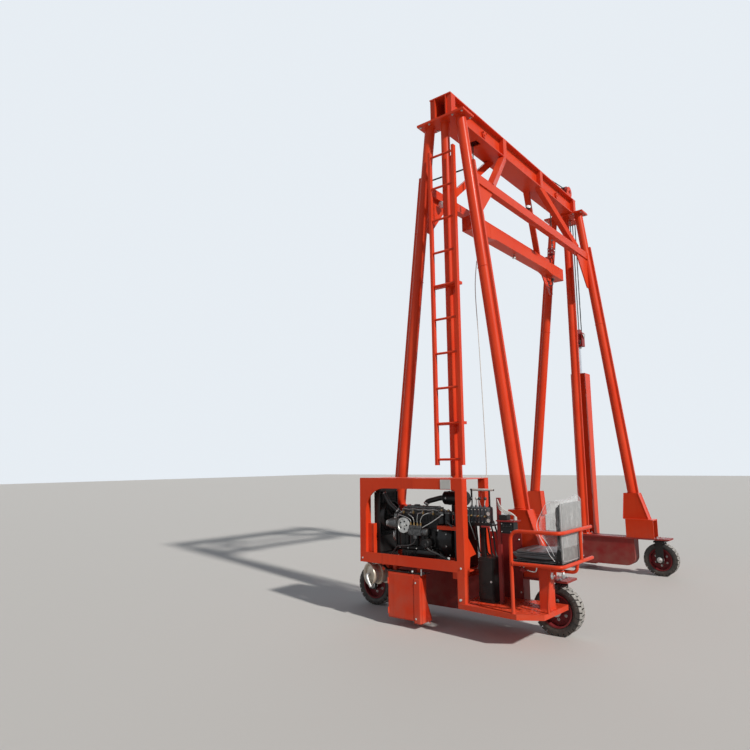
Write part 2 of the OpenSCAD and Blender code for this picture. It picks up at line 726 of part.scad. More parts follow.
// Lifting beam: a box section with deeper ends, upper lugs for the rings and lower lugs
module lifting_beam() {
    w = lift_w / 2;
    m = lift_mid / 2;
    h = lift_h / 2;
    y1 = lift_l / 2;
    y2 = y1 - lift_end;
    color(ORANGE) difference() {
        union() {
            translate([-w, 0, lift_z]) rotate([90, 0, 90]) linear_extrude(lift_w) polygon([
                [-y1, -h], [-y2, -h], [-y2 + 150, -m], [y2 - 150, -m], [y2, -h], [y1, -h],
                [y1, h], [y2, h], [y2 - 150, m], [-y2 + 150, m], [-y2, h], [-y1, h]]);
            for (e = EDGES) {
                block([-30, e * fall_y - 12, lift_z + h - 1], [30, e * fall_y + 12, ring_low + 30]);
                block([-12, e * shackle_y - (e > 0 ? 130 : 30), lift_low - 80],
                      [12, e * shackle_y + (e > 0 ? 30 : 130), lift_low + 1]);
            }
        }
        block([-w + 9, -y1 - 1, lift_z - m + 9], [w - 9, y1 + 1, lift_z + m - 9]);
        for (e = EDGES) {
            translate([0, e * fall_y, ring_low]) rod_y(ring_t + 1.6, -20, 20);
            translate([0, e * shackle_y, lift_low - shackle_drop]) rod_x(bow_pin_r, -20, 20);
            translate([0, e * (shackle_y - lug_step), lift_low - shackle_drop]) rod_x(lug_r, -20, 20);
        }
    }
}

// Rope sockets: a block on each rope's end, hung from a round ring in the beam's lug
module rope_sockets() {
    color(DARK_RED) for (e = EDGES) translate([0, e * fall_y, 0]) {
        translate([0, 0, ring_low + ring_r]) rotate([0, 90, 0]) rotate_extrude($fn = 40)
            translate([ring_r, 0]) circle(r = ring_t, $fn = 16);
        difference() {
            union() {
                block([-25, -12, socket_z - 25], [25, 12, socket_z + 31]);
                block([-42, -36, socket_z + 30], [42, 36, socket_z + 130]);
            }
            translate([0, 0, socket_z]) rod_y(ring_t + 1.6, -20, 20);
        }
    }
}

// Lamp that hangs under the lifting beam
module beam_lamp() {
    color(STEEL) translate([0, -150, lift_z - lift_mid / 2 - 70]) {
        cylinder(r = 24, h = 50);
        cylinder(r = 8, h = 70);
    }
}

// Lamp on a foot on the rear tie
module tie_lamp() {
    color(STEEL) translate([leg_x(tie_z), -280, tie_z + tie_h / 2]) {
        block([-15, -15, 0], [15, 15, 60]);
        translate([0, 0, 80]) rod_x(38, -30, 30);
    }
}

// A bow shackle on its pin, hanging from a lower lug
module shackle(e) {
    color(BLACK) translate([0, e * shackle_y, lift_low - shackle_drop]) {
        rod_x(bow_pin_r - running, -bow_r - bow_t, bow_r + bow_t);
        for (s = EDGES) translate([s * bow_r, 0, -60]) cylinder(r = bow_t, h = 60);
        translate([0, 0, -60]) rotate([90, 0, 0]) rotate([0, 0, 180])
            rotate_extrude(angle = 180, $fn = 48) translate([bow_r, 0]) circle(r = bow_t, $fn = 16);
    }
}

// Ropes that fall from the beam's sheaves to the sockets over the lifting beam
module hoist_ropes() {
    z0 = socket_z + 130;
    color(BLACK) for (e = EDGES) translate([e * rope_x, e * fall_y, z0])
        cylinder(r = rope_r, h = sheave_z - z0, $fn = 16);
}

// Ropes that run from the beam's sheaves over the sheave bracket
module beam_ropes() {
    r = fall_r;
    color(BLACK) for (e = EDGES) translate([e * rope_x, 0, 0]) {
        y = e < 0 ? near_sheave_y : far_sheave_y;
        rise = e < 0 ? near_rise : far_rise;
        rope_arc(y, sheave_z, 90 + rise, 180, r);
        rope_arc(bracket_y, bracket_z, 0, 90 + rise, r);
        translate([0, y - r * sin(rise), sheave_z + r * cos(rise)]) rotate([-90 + rise, 0, 0])
            translate([0, 0, gap])
                cylinder(r = rope_r, h = norm([bracket_y - y, bracket_z - sheave_z]) - 2 * gap, $fn = 16);
    }
}

// Part of a turn of rope lying round a sheave
module rope_arc(y, z, a0, a1, r) {
    translate([0, y, z]) rotate([90, 0, 90]) rotate([0, 0, a0])
        rotate_extrude(angle = a1 - a0, $fn = 64) translate([r, 0]) circle(r = rope_r, $fn = 16);
}

// Ropes that fall from the bracket's sheave to the crosshead and up to their anchors
module mast_ropes() {
    color(BLACK) for (s = EDGES, y = [mast_fall_in, mast_fall_out])
        translate([s * rope_x, y, cross_z])
            cylinder(r = rope_r, h = (y > mast_y ? head_z + 38 : bracket_z - gap) - cross_z, $fn = 16);
}

// Fork: crown, cheeks and axle pin under the base plate
module fork(s, e, pinned) {
    color(BLACK) translate([s * wheel_x, e * side_y, 0]) {
        difference() {
            union() {
                block([-70, -tyre_w / 2 - 24, 2 * tyre_r + 8], [70, tyre_w / 2 + 24, plate_z - plate_t - 12]);
                for (k = EDGES)
                    block([-50, k * (tyre_w / 2 + 18) - 6, tyre_z - 45],
                          [50, k * (tyre_w / 2 + 18) + 6, 2 * tyre_r + 9]);
            }
        }
        translate([0, 0, 2 * tyre_r + 9])
            cylinder(r = 60, h = plate_z - plate_t - (pinned ? gap : 0) - 2 * tyre_r - 9);
        if (pinned) translate([0, 0, plate_z - plate_t - 5]) cylinder(r = kingpin_r, h = plate_t + 60);
        translate([0, 0, tyre_z]) rod_y(axle_r - running, -tyre_w / 2 - 24, tyre_w / 2 + 24);
    }
}

// Rear forks: the far wheel's fork, and a stub axle on a drop plate inside the near wheel
module rear_forks() {
    fork(1, 1, false);
    color(BLACK) translate([wheel_x, -side_y, 0]) {
        block([-60, tyre_w / 2 + 12, tyre_z - 60], [60, tyre_w / 2 + 30, plate_z - plate_t]);
        translate([0, 0, tyre_z]) rod_y(axle_r - running, -tyre_w / 2 - 10, tyre_w / 2 + 13);
    }
}

// Drive motor on the outer cheek of the far rear wheel
module drive_motor() {
    color(ORANGE) translate([wheel_x, side_y + tyre_w / 2 + 24, tyre_z]) {
        rod_y(60, 0, 90);
        for (y = [100:28:184]) rod_y(92, y - 10, y + 8);
        rod_y(70, 80, 210);
    }
}

// A tyre: round shoulders, and lugs across its tread
module tyre(s, e) {
    w = tyre_w / 2;
    color(BLACK) translate([s * wheel_x, e * side_y, tyre_z]) rotate([90, 0, 0]) rotate_extrude($fn = 64)
        polygon([[rim_r, -w + 8], [rim_r + 20, -w], [tyre_r - 20, -w], [tyre_r, -w + 20],
                 [tyre_r, w - 20], [tyre_r - 20, w], [rim_r + 20, w], [rim_r, w - 8]]);
}

// A rim: a drum with a dished disc and a bored hub
module rim(s, e) {
    w = tyre_w / 2;
    color(DARK_RED) translate([s * wheel_x, e * side_y, tyre_z]) rotate([90, 0, 0]) difference() {
        rotate_extrude($fn = 64) polygon([[axle_r, -w + 4], [48, -w + 4], [48, -12], [rim_r - 14, -12],
            [rim_r - 14, -w + 8], [rim_r, -w + 8], [rim_r, w - 8], [rim_r - 14, w - 8],
            [rim_r - 14, 12], [48, 12], [48, w - 4], [axle_r, w - 4]]);
    }
}

top_beam();
head_plates();
sheave_bracket();
leg(-1, -1);  // leg_near_front
leg(1, -1);  // leg_near_rear
leg(-1, 1);  // leg_far_front
leg(1, 1);  // leg_far_rear
column(-1);  // column_near
column(1);  // column_far
ties();
knee_braces();
ladder();
base_beams();
leg_boxes();
engine_frame();
engine_block();
radiator();
fluid_tank();
silencer();
hanging_box();
console();
inner_panel();
platform();
seat_pedestal();
seat_cushion();
seat_back();
guard_rail();
mast_channel();
cylinder_barrel();
cylinder_rod();
crosshead();
sheave([-rope_x, rope_x], mast_y, cross_z, cross_r, 90);  // crosshead_sheave
sheave([-rope_x, rope_x], bracket_y, bracket_z, sheave_r, 84);  // bracket_sheave
sheave([-rope_x], near_sheave_y, sheave_z, sheave_r, web_pin);  // near_sheave
sheave([rope_x], far_sheave_y, sheave_z, sheave_r, web_pin);  // far_sheave
lifting_beam();
shackle(-1);  // shackle_near
shackle(1);  // shackle_far
rope_sockets();
beam_lamp();
tie_lamp();
hoist_ropes();
beam_ropes();
mast_ropes();
fork(-1, -1, true);  // fork_near_front
fork(-1, 1, true);  // fork_far_front
rear_forks();
drive_motor();
for (c = CORNERS) {
    tyre(c[1], c[2]);
    rim(c[1], c[2]);
}
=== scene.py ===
# %% [markdown]
# Straddle carrier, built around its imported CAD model.
#
# The machine is a tall steel portal on four small wheels. It drives over a load, lowers a
# lifting beam between its two side frames and carries the load away. The CAD model gives
# every main form in metres, so each cell here adds what the CAD leaves plain: paint, tread,
# engine detail, upholstery, ropes and fastenings, all placed from the CAD's own boxes.

# %% Load the frame
import json
from math import asin, atan2, cos, degrees, hypot, pi, radians, sin, tau

import bmesh
import bpy
from mathutils import Matrix, Vector, noise


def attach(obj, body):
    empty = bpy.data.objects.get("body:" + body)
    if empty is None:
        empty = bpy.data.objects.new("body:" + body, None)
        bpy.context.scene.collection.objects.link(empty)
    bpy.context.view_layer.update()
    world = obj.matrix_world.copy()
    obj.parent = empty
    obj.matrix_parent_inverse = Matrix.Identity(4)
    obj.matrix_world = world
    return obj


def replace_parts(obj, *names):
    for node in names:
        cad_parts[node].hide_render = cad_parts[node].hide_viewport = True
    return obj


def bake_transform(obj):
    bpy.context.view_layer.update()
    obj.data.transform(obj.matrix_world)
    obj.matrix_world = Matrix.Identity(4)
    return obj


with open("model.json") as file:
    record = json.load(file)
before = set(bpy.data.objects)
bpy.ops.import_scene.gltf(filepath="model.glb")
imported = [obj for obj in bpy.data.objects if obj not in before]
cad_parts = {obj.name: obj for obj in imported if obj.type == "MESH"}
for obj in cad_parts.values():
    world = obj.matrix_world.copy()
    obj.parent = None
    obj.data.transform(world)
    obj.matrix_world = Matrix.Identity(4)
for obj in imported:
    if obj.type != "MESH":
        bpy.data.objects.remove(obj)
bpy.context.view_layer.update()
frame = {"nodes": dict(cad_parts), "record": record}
nodes = frame["nodes"]

# %% [markdown]
# The camera stands at driver's height near the seat, looking across the machine and a
# little upwards. A camera's axes can be set with Euler angles, but a matrix of its right,
# up and backward directions keeps turn, tilt and roll apart, so that is used.

# %% Camera at the viewing angle
def add_object(name, data):
    """A new object with that data, linked to the scene."""
    made = bpy.data.objects.new(name, data)
    bpy.context.scene.collection.objects.link(made)
    return made


CAMERA_PLACE = Vector((3.41, -7.387, 1.569))
CAMERA_TURN = radians(38.735)
CAMERA_TILT = radians(8.26)
CAMERA_ROLL = radians(-0.634)
CAMERA_LENS = 29.16
SENSOR_WIDTH = 36
CAMERA_REACH = 200

ahead = Vector((-sin(CAMERA_TURN) * cos(CAMERA_TILT), cos(CAMERA_TURN) * cos(CAMERA_TILT),
    sin(CAMERA_TILT)))
level_right = ahead.cross(Vector((0, 0, 1))).normalized()
level_up = level_right.cross(ahead)
right = level_right * cos(CAMERA_ROLL) + level_up * sin(CAMERA_ROLL)
up = level_up * cos(CAMERA_ROLL) - level_right * sin(CAMERA_ROLL)
camera_data = bpy.data.cameras.new("camera")
camera_data.lens = CAMERA_LENS
camera_data.sensor_width = SENSOR_WIDTH
camera_data.clip_end = CAMERA_REACH
camera = add_object("camera", camera_data)
camera.matrix_world = Matrix((right, up, -ahead)).transposed().to_4x4()
camera.location = CAMERA_PLACE
bpy.context.scene.camera = camera
bpy.context.scene.view_settings.view_transform = "Standard"
print("camera looks along", [round(value, 3) for value in ahead])

# %% [markdown]
# A machine this tall is lit evenly by suns, because their light doesn't fall off with
# height. One narrow sun stands for the bright side, two weak wide ones fill the shaded
# sides, and the world gives the rest. Rays from the camera, also through glass or off a
# glossy face, see a paler world, so the backdrop is pale without more light on the paint.

# %% Floor, world and lamps
FLOOR_REACH = 60
BACKDROP = (0.8, 0.85, 0.9, 1)
AMBIENT = (0.8, 0.88, 1.0, 1)

floor_mesh = bpy.data.meshes.new("floor")
floor_mesh.from_pydata([(-FLOOR_REACH, -FLOOR_REACH, 0), (FLOOR_REACH, -FLOOR_REACH, 0),
    (FLOOR_REACH, FLOOR_REACH, 0), (-FLOOR_REACH, FLOOR_REACH, 0)], [], [(0, 1, 2, 3)])
floor = add_object("floor", floor_mesh)
floor_paint = bpy.data.materials.new("floor_pale")
floor_paint.use_nodes = True
floor_shader = floor_paint.node_tree.nodes["Principled BSDF"]
floor_shader.inputs["Base Color"].default_value = (0.56, 0.55, 0.535, 1)
floor_shader.inputs["Roughness"].default_value = 0.9
floor_mesh.materials.append(floor_paint)


def add_node(tree, kind):
    """A new shader node; `kind` is its type without the part that all types share."""
    return tree.nodes.new("ShaderNode" + kind)


def build_world():
    """A dim even light, and a pale backdrop for camera, mirror-like and see-through rays."""
    world = bpy.data.worlds.new("studio")
    world.use_nodes = True
    tree = world.node_tree
    tree.nodes.clear()
    output = add_node(tree, "OutputWorld")
    blend = add_node(tree, "MixShader")
    ambient = add_node(tree, "Background")
    backdrop = add_node(tree, "Background")
    rays = add_node(tree, "LightPath")
    seen, mirrored = add_node(tree, "Math"), add_node(tree, "Math")
    seen.operation = mirrored.operation = "MAXIMUM"
    ambient.inputs["Color"].default_value = AMBIENT
    ambient.inputs["Strength"].default_value = 0.17
    backdrop.inputs["Color"].default_value = BACKDROP
    tree.links.new(rays.outputs["Is Camera Ray"], seen.inputs[0])
    tree.links.new(rays.outputs["Is Transmission Ray"], seen.inputs[1])
    tree.links.new(seen.outputs[0], mirrored.inputs[0])
    tree.links.new(rays.outputs["Is Glossy Ray"], mirrored.inputs[1])
    tree.links.new(mirrored.outputs[0], blend.inputs[0])
    tree.links.new(ambient.outputs[0], blend.inputs[1])
    tree.links.new(backdrop.outputs[0], blend.inputs[2])
    tree.links.new(blend.outputs[0], output.inputs["Surface"])
    bpy.context.scene.world = world


def sun(name, towards, strength, width, colour):
    """A sun lamp that shines from the direction `towards`; width is its size in degrees."""
    data = bpy.data.lights.new(name, "SUN")
    data.energy = strength
    data.angle = radians(width)
    data.color = colour
    lamp = add_object(name, data)
    lamp.rotation_euler = Vector(towards).to_track_quat("Z", "Y").to_euler()


build_world()
sun("key_sun", (0.8, -0.18, 0.6), 3.5, 3.0, (1.0, 0.96, 0.9))
sun("fill_sun", (-0.1, -0.9, 0.4), 0.16, 50, (0.95, 0.97, 1.0))
sun("back_sun", (-0.4, 0.8, 0.45), 0.25, 50, (0.9, 0.95, 1.0))

# %% [markdown]
# Nearly every part here is a simple shop-made shape: a plate, a bar, a turned part, a bent
# tube or a bolt. Each could be a separate object, but a machine has hundreds, so one small
# class gathers such shapes into a single mesh and hands it over as one piece. Edges get a
# small rounding, because no real steel edge is perfectly sharp.

# %% A gatherer for shop-made shapes
UP, DOWN = (0, 0, 1), (0, 0, -1)
FRONT, REAR = (-1, 0, 0), (1, 0, 0)
NEAR, FAR = (0, -1, 0), (0, 1, 0)
BEAD = 0.012


def turns(count, first=0):
    """That many angles, evenly round a full turn."""
    return [tau * (index + first) / count for index in range(count)]


def turned_matrix(start, towards):
    """A matrix that puts the Z axis along `towards`, at the point `start`."""
    return Matrix.Translation(Vector(start)) @ Vector(towards).to_track_quat("Z", "Y").to_matrix().to_4x4()


def smooth_path(points, between=6):
    """A Catmull-Rom curve through the points, with that many steps between each two."""
    ends = [Vector(points[0])] + [Vector(point) for point in points] + [Vector(points[-1])]
    path = []
    for index in range(1, len(ends) - 2):
        a, b, c, d = ends[index - 1:index + 3]
        for step in range(between):
            t = step / between
            path.append(0.5 * (2 * b + (c - a) * t + (2 * a - 5 * b + 4 * c - d) * t * t
                + (3 * b - a - 3 * c + d) * t ** 3))
    return path + [ends[-2]]


class Shape:
    """Gathers faces for one piece, in metres and in the frame's own axes."""

    def __init__(self):
        self.mesh = bmesh.new()

    def block(self, low, high, edge=0.003, steps=1):
        """A box with rounded edges, given by two opposite corners."""
        low, high = Vector(low), Vector(high)
        made = bmesh.ops.create_cube(self.mesh, size=1, matrix=Matrix.Translation((low + high) / 2)
            @ Matrix.Diagonal((high - low).to_4d()))
        if edge:
            edges = {line for corner in made["verts"] for line in corner.link_edges}
            bmesh.ops.bevel(self.mesh, geom=list(edges), offset=min(edge,
                min(abs(side) for side in high - low) * 0.45), segments=steps, affect="EDGES")
        return self

    def turned(self, profile, start, towards, steps=32):
        """A lathe-turned shape: profile is a list of (distance along, radius)."""
        place = turned_matrix(start, towards)
        rings = []
        for along, radius in profile:
            if radius < 1e-6:
                rings.append([self.mesh.verts.new(place @ Vector((0, 0, along)))])
            else:
                rings.append([self.mesh.verts.new(place @ Vector((radius * cos(turn), radius * sin(turn),
                    along))) for turn in turns(steps)])
        for first, second in zip(rings, rings[1:]):
            for step in range(steps):
                after = (step + 1) % steps
                if len(first) == 1 and len(second) > 1:
                    self.mesh.faces.new((first[0], second[after], second[step]))
                elif len(second) == 1 and len(first) > 1:
                    self.mesh.faces.new((first[step], first[after], second[0]))
                elif len(first) > 1:
                    self.mesh.faces.new((first[step], first[after], second[after], second[step]))
        return self

    def solid(self, profile, start, towards, steps=32):
        """A turned shape that is closed at both ends."""
        return self.turned([(profile[0][0], 0), *profile, (profile[-1][0], 0)], start, towards, steps)

    def rod(self, start, end, radius, steps=20, edge=0.0015):
        """A round bar with lightly broken ends."""
        start, end = Vector(start), Vector(end)
        length = (end - start).length
        edge = min(edge, radius * 0.3, length * 0.3)
        return self.solid([(0, radius - edge), (edge, radius), (length - edge, radius),
            (length, radius - edge)], start, end - start, steps)

    def tube(self, path, radius, steps=10, closed=False):
        """A round tube swept along a path; radius may be one value or one for each point."""
        path = [Vector(point) for point in path]
        count = len(path)
        sizes = radius if isinstance(radius, list) else [radius] * count
        heading = (path[1] - path[0]).normalized()
        side = heading.orthogonal().normalized()
        rings = []
        for index, point in enumerate(path):
            before = path[index - 1] if index or closed else path[0]
            after = path[(index + 1) % count] if index < count - 1 or closed else path[-1]
            heading = (after - before).normalized()
            side = (side - heading * side.dot(heading)).normalized()
            other = heading.cross(side)
            rings.append([self.mesh.verts.new(point + sizes[index] * (side * cos(turn) + other * sin(turn)))
                for turn in turns(steps)])
        pairs = list(zip(rings, rings[1:])) + ([(rings[-1], rings[0])] if closed else [])
        for first, second in pairs:
            for step in range(steps):
                after = (step + 1) % steps
                self.mesh.faces.new((first[step], first[after], second[after], second[step]))
        if not closed:
            self.mesh.faces.new(list(reversed(rings[0])))
            self.mesh.faces.new(rings[-1])
        return self

    def hose(self, points, between, radius, steps=10):
        """A tube along a smooth path through the points."""
        return self.tube(smooth_path(points, between), radius, steps)

    def bar(self, start, end, wide, deep, across=(0, 1, 0), edge=0.002):
        """A straight bar of flat section between two points; `wide` is measured along `across`."""
        start, end = Vector(start), Vector(end)
        along = (end - start).normalized()
        side = (Vector(across) - along * along.dot(Vector(across))).normalized()
        turned = Matrix((side, along.cross(side), along)).transposed().to_4x4()
        sized = Matrix.Diagonal((wide, deep, (end - start).length, 1))
        made = bmesh.ops.create_cube(self.mesh, size=1, matrix=Matrix.Translation((start + end) / 2)
            @ turned @ sized)
        if edge:
            edges = {line for corner in made["verts"] for line in corner.link_edges}
            bmesh.ops.bevel(self.mesh, geom=list(edges), offset=min(edge, wide * 0.4, deep * 0.4),
                segments=1, affect="EDGES")
        return self

    def slab(self, outline, start, towards, thick, edge=0.002):
        """A plate cut to an outline of (x, y) points, extruded along `towards` from `start`.

        For a plate that faces X the outline runs in (y, z), for Y in (x, z), for Z in (x, y)."""
        axis = max(range(3), key=lambda index: abs(towards[index]))
        flat = [index for index in range(3) if index != axis]
        sign = 1 if towards[axis] > 0 else -1

        def corner(point, along):
            place = Vector(start)
            place[flat[0]] += point[0]
            place[flat[1]] += point[1]
            place[axis] += along
            return self.mesh.verts.new(place)
        near = [corner(point, 0) for point in outline]
        far = [corner(point, sign * thick) for point in outline]
        count = len(outline)
        faces = [self.mesh.faces.new(near), self.mesh.faces.new(far)]
        for index in range(count):
            after = (index + 1) % count
            faces.append(self.mesh.faces.new((near[index], near[after], far[after], far[index])))
        bmesh.ops.recalc_face_normals(self.mesh, faces=faces)
        if edge:
            rims = list({line for face in faces[:2] for line in face.edges})
            bmesh.ops.bevel(self.mesh, geom=rims, offset=min(edge, thick * 0.4), segments=1, affect="EDGES")
        return self

    def bolts(self, places, towards, size=0.012):
        """Hexagon heads on washers, standing on a face that looks along `towards`."""
        for place in places:
            self.turned([(0, 0), (0, size * 1.25), (size * 0.22, size * 1.25), (size * 0.22, 0)], place,
                towards, 16)
            self.turned([(size * 0.2, 0), (size * 0.2, size * 0.95), (size * 0.75, size * 0.95),
                (size * 0.95, size * 0.75), (size * 0.95, 0)], place, towards, 6)
        return self

    def weld(self, start, end, size=0.006):
        """A bead of weld: a thin uneven tube along a joint."""
        start, end = Vector(start), Vector(end)
        count = max(4, int((end - start).length / BEAD))
        path = [start.lerp(end, step / count) for step in range(count + 1)]
        sizes = [size * (0.85 + 0.3 * (step % 2)) * (1 + 0.25 * noise.noise(point * 30))
            for step, point in enumerate(path)]
        return self.tube(path, sizes, 6)

    def weld_round(self, centre, towards, radius, size=0.006):
        """A bead of weld round a tube."""
        place = turned_matrix(centre, towards)
        count = max(24, int(tau * radius / BEAD))
        path = [place @ Vector((radius * cos(turn), radius * sin(turn), 0)) for turn in turns(count)]
        sizes = [size * (0.85 + 0.3 * (step % 2)) for step in range(count)]
        return self.tube(path, sizes, 6, closed=True)

    def piece(self, name, material, finish, sharp=35, body="frame"):
        """Makes one object that rides on a body, or on none."""
        bmesh.ops.recalc_face_normals(self.mesh, faces=self.mesh.faces)
        data = bpy.data.meshes.new(name)
        self.mesh.to_mesh(data)
        self.mesh.free()
        data.shade_smooth()
        data.set_sharp_from_angle(angle=radians(sharp))
        made = add_object(name, data)
        data.materials.append(material)
        if body:
            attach(made, body)
        return made


def shapes(count):
    """That many empty gatherers, one for each finish."""
    return [Shape() for _ in range(count)]


# %% [markdown]
# Materials are node trees, and most of them share the same few effects: paint rubbed off
# along edges, dust that settles on top and near the ground, streaks that rain has drawn
# down, and the fine ripple of sprayed enamel. Each effect is a node group with named
# sockets, made once and placed in every material with its own values. Two helpers keep the
# wiring short: one places a Math node, the other a colour Mix node.

# %% Helpers for shader trees
def feed(tree, socket, value):
    """Links an output to a socket, or sets the socket's own value."""
    if isinstance(value, bpy.types.NodeSocket):
        tree.links.new(value, socket)
    else:
        socket.default_value = value


def maths(tree, operation, *values):
    """A Math node of that operation; returns its output."""
    made = add_node(tree, "Math")
    made.operation = operation
    for socket, value in zip(made.inputs, values):
        feed(tree, socket, value)
    return made.outputs[0]


def spread(tree, value, low, high):
    """Stretches the range low..high of a value to 0..1, clamped."""
    made = add_node(tree, "MapRange")
    feed(tree, made.inputs["Value"], value)
    made.inputs["From Min"].default_value = low
    made.inputs["From Max"].default_value = high
    return made.outputs[0]


def mixed(tree, factor, first, second):
    """A colour between two; each may be a colour or an output."""
    made = add_node(tree, "Mix")
    made.data_type = "RGBA"
    feed(tree, made.inputs[0], factor)
    feed(tree, made.inputs[6], first)
    feed(tree, made.inputs[7], second)
    return made.outputs[2]


def noise_of(tree, scale, detail=3, stretch=(1, 1, 1), kind="Object"):
    """Noise in the object's own coordinates, stretched along its axes."""
    place = add_node(tree, "TexCoord")
    scaled = add_node(tree, "Mapping")
    scaled.inputs["Scale"].default_value = stretch
    made = add_node(tree, "TexNoise")
    made.inputs["Detail"].default_value = detail
    feed(tree, made.inputs["Scale"], scale)
    tree.links.new(place.outputs[kind], scaled.inputs["Vector"])
    tree.links.new(scaled.outputs[0], made.inputs["Vector"])
    return made.outputs["Fac"]


def new_group(name, inputs, output, kind="NodeSocketFloat"):
    """An empty node group with those named inputs and one named output."""
    group = bpy.data.node_groups.new(name, "ShaderNodeTree")
    for label, value in inputs:
        socket = group.interface.new_socket(label, in_out="INPUT", socket_type="NodeSocketFloat")
        socket.default_value = value
    group.interface.new_socket(output, in_out="OUTPUT", socket_type=kind)
    return group, group.nodes.new("NodeGroupInput").outputs, group.nodes.new("NodeGroupOutput").inputs


def use_group(tree, group, **values):
    """Places a group in a material with its own values; returns its output."""
    made = add_node(tree, "Group")
    made.node_tree = group
    for label, value in values.items():
        feed(tree, made.inputs[label.replace("_", " ")], value)
    return made.outputs[0]


# %% Edge wear
def build_edge_wear():
    """Where a rounded normal differs from the real one there is an edge; noise breaks it up."""
    tree, given, result = new_group("edge wear", [("Reach", 0.006), ("Amount", 0.5), ("Grain", 40)], "Mask")
    rounded = add_node(tree, "Bevel")
    rounded.samples = 4
    tree.links.new(given["Reach"], rounded.inputs["Radius"])
    surface = add_node(tree, "NewGeometry")
    likeness = add_node(tree, "VectorMath")
    likeness.operation = "DOT_PRODUCT"
    tree.links.new(rounded.outputs[0], likeness.inputs[0])
    tree.links.new(surface.outputs["Normal"], likeness.inputs[1])
    edge = spread(tree, maths(tree, "SUBTRACT", 1.0, likeness.outputs["Value"]), 0.02, 0.25)
    broken = spread(tree, noise_of(tree, given["Grain"], 5), 0.42, 0.62)
    tree.links.new(maths(tree, "MULTIPLY", maths(tree, "MULTIPLY", edge, broken), given["Amount"]),
        result["Mask"])
    return tree


edge_wear = build_edge_wear()


# %% Dust
def build_dust():
    """Dust lies on what faces up, and splashes over the lowest half metre of the machine."""
    tree, given, result = new_group("dust", [("Settled", 0.4), ("Splashed", 0.5), ("Grain", 9)], "Mask")
    surface = add_node(tree, "NewGeometry")
    facing = add_node(tree, "SeparateXYZ")
    tree.links.new(surface.outputs["Normal"], facing.inputs[0])
    place = add_node(tree, "TexCoord")
    height = add_node(tree, "SeparateXYZ")
    tree.links.new(place.outputs["Object"], height.inputs[0])
    patchy = noise_of(tree, given["Grain"], 6)
    settled = maths(tree, "MULTIPLY", spread(tree, facing.outputs["Z"], 0.35, 1.0), given["Settled"])
    low = maths(tree, "SUBTRACT", 1.0, spread(tree, height.outputs["Z"], 0.05, 0.75))
    splashed = maths(tree, "MULTIPLY", low, given["Splashed"])
    amount = maths(tree, "MAXIMUM", settled, splashed)
    tree.links.new(maths(tree, "MULTIPLY", amount, spread(tree, patchy, 0.3, 0.72)), result["Mask"])
    return tree


dust = build_dust()


# %% Streaks and sprayed ripple
def build_streaks():
    """Thin runs down upright faces: noise that is much finer across than down."""
    tree, given, result = new_group("streaks", [("Grain", 26)], "Mask")
    runs = noise_of(tree, given["Grain"], 4, (1, 1, 0.06))
    patches = noise_of(tree, 1.7, 2)
    tree.links.new(maths(tree, "MULTIPLY", spread(tree, runs, 0.5, 0.72), spread(tree, patches, 0.4, 0.7)),
        result["Mask"])
    return tree


def build_ripple():
    """The fine orange-peel ripple of sprayed enamel over a slightly uneven plate."""
    tree, given, result = new_group("sprayed ripple", [("Grain", 260), ("Waves", 0.35)], "Height")
    peel = noise_of(tree, given["Grain"], 2)
    waves = maths(tree, "MULTIPLY", noise_of(tree, 14, 2), given["Waves"])
    tree.links.new(maths(tree, "ADD", peel, waves), result["Height"])
    return tree


streaks = build_streaks()
sprayed_ripple = build_ripple()
print("shader groups:", [group.name for group in bpy.data.node_groups
    if group.bl_idname == "ShaderNodeTree"])

# %% [markdown]
# The enamel is a saturated red-orange that the sun has bleached unevenly. A flat colour
# would look like plastic, so two tones are mixed by broad noise, streaks darken it, rubbed
# edges show grey primer, and dust lies over all of it. The same recipe with other tones
# gives the dark red base and the oily black castings.

# %% Enamel paints
def start_material(name):
    """A new material; returns it with its node tree and its Principled shader."""
    material = bpy.data.materials.new(name)
    material.use_nodes = True
    return material, material.node_tree, material.node_tree.nodes["Principled BSDF"]


def dress(shader, **values):
    """Sets or links the shader's inputs by name, with an underscore for each space."""
    for label, value in values.items():
        feed(shader.id_data, shader.inputs[label.replace("_", " ")], value)


def bump(tree, shader, height, strength, distance):
    """Feeds a height into the shader's normal."""
    made = add_node(tree, "Bump")
    made.inputs["Strength"].default_value = strength
    made.inputs["Distance"].default_value = distance
    tree.links.new(height, made.inputs["Height"])
    dress(shader, Normal=made.outputs[0])


PRIMER = (0.12, 0.085, 0.075, 1)
ROAD_DUST = (0.24, 0.19, 0.15, 1)


def enamel(name, colour, bleached, stained, rough=0.34, coat=0.06, worn=0.55, settled=0.18, splashed=0.28,
        primer=PRIMER):
    """Sprayed enamel: bleached in patches, streaked, rubbed along edges and dusty."""
    material, tree, shader = start_material(name)
    patches = spread(tree, noise_of(tree, 2.2, 4), 0.35, 0.68)
    runs = use_group(tree, streaks, Grain=26.0)
    rubbed = use_group(tree, edge_wear, Reach=0.005, Amount=worn, Grain=38.0)
    dusty = use_group(tree, dust, Settled=settled, Splashed=splashed, Grain=9.0)
    fresh = mixed(tree, patches, colour, bleached)
    streaked = mixed(tree, maths(tree, "MULTIPLY", runs, 0.38), fresh, stained)
    bare = mixed(tree, rubbed, streaked, primer)
    dress(shader, Base_Color=mixed(tree, dusty, bare, ROAD_DUST))
    dulled = maths(tree, "MULTIPLY_ADD", patches, 0.1, rough)
    duller = maths(tree, "MULTIPLY_ADD", dusty, 0.5, dulled)
    dress(shader, Roughness=maths(tree, "MULTIPLY_ADD", rubbed, 0.25, duller), Coat_Weight=coat,
        Coat_Roughness=0.15, Specular_IOR_Level=0.14)
    bump(tree, shader, use_group(tree, sprayed_ripple, Grain=260.0, Waves=0.5), 0.22, 0.0015)
    return material


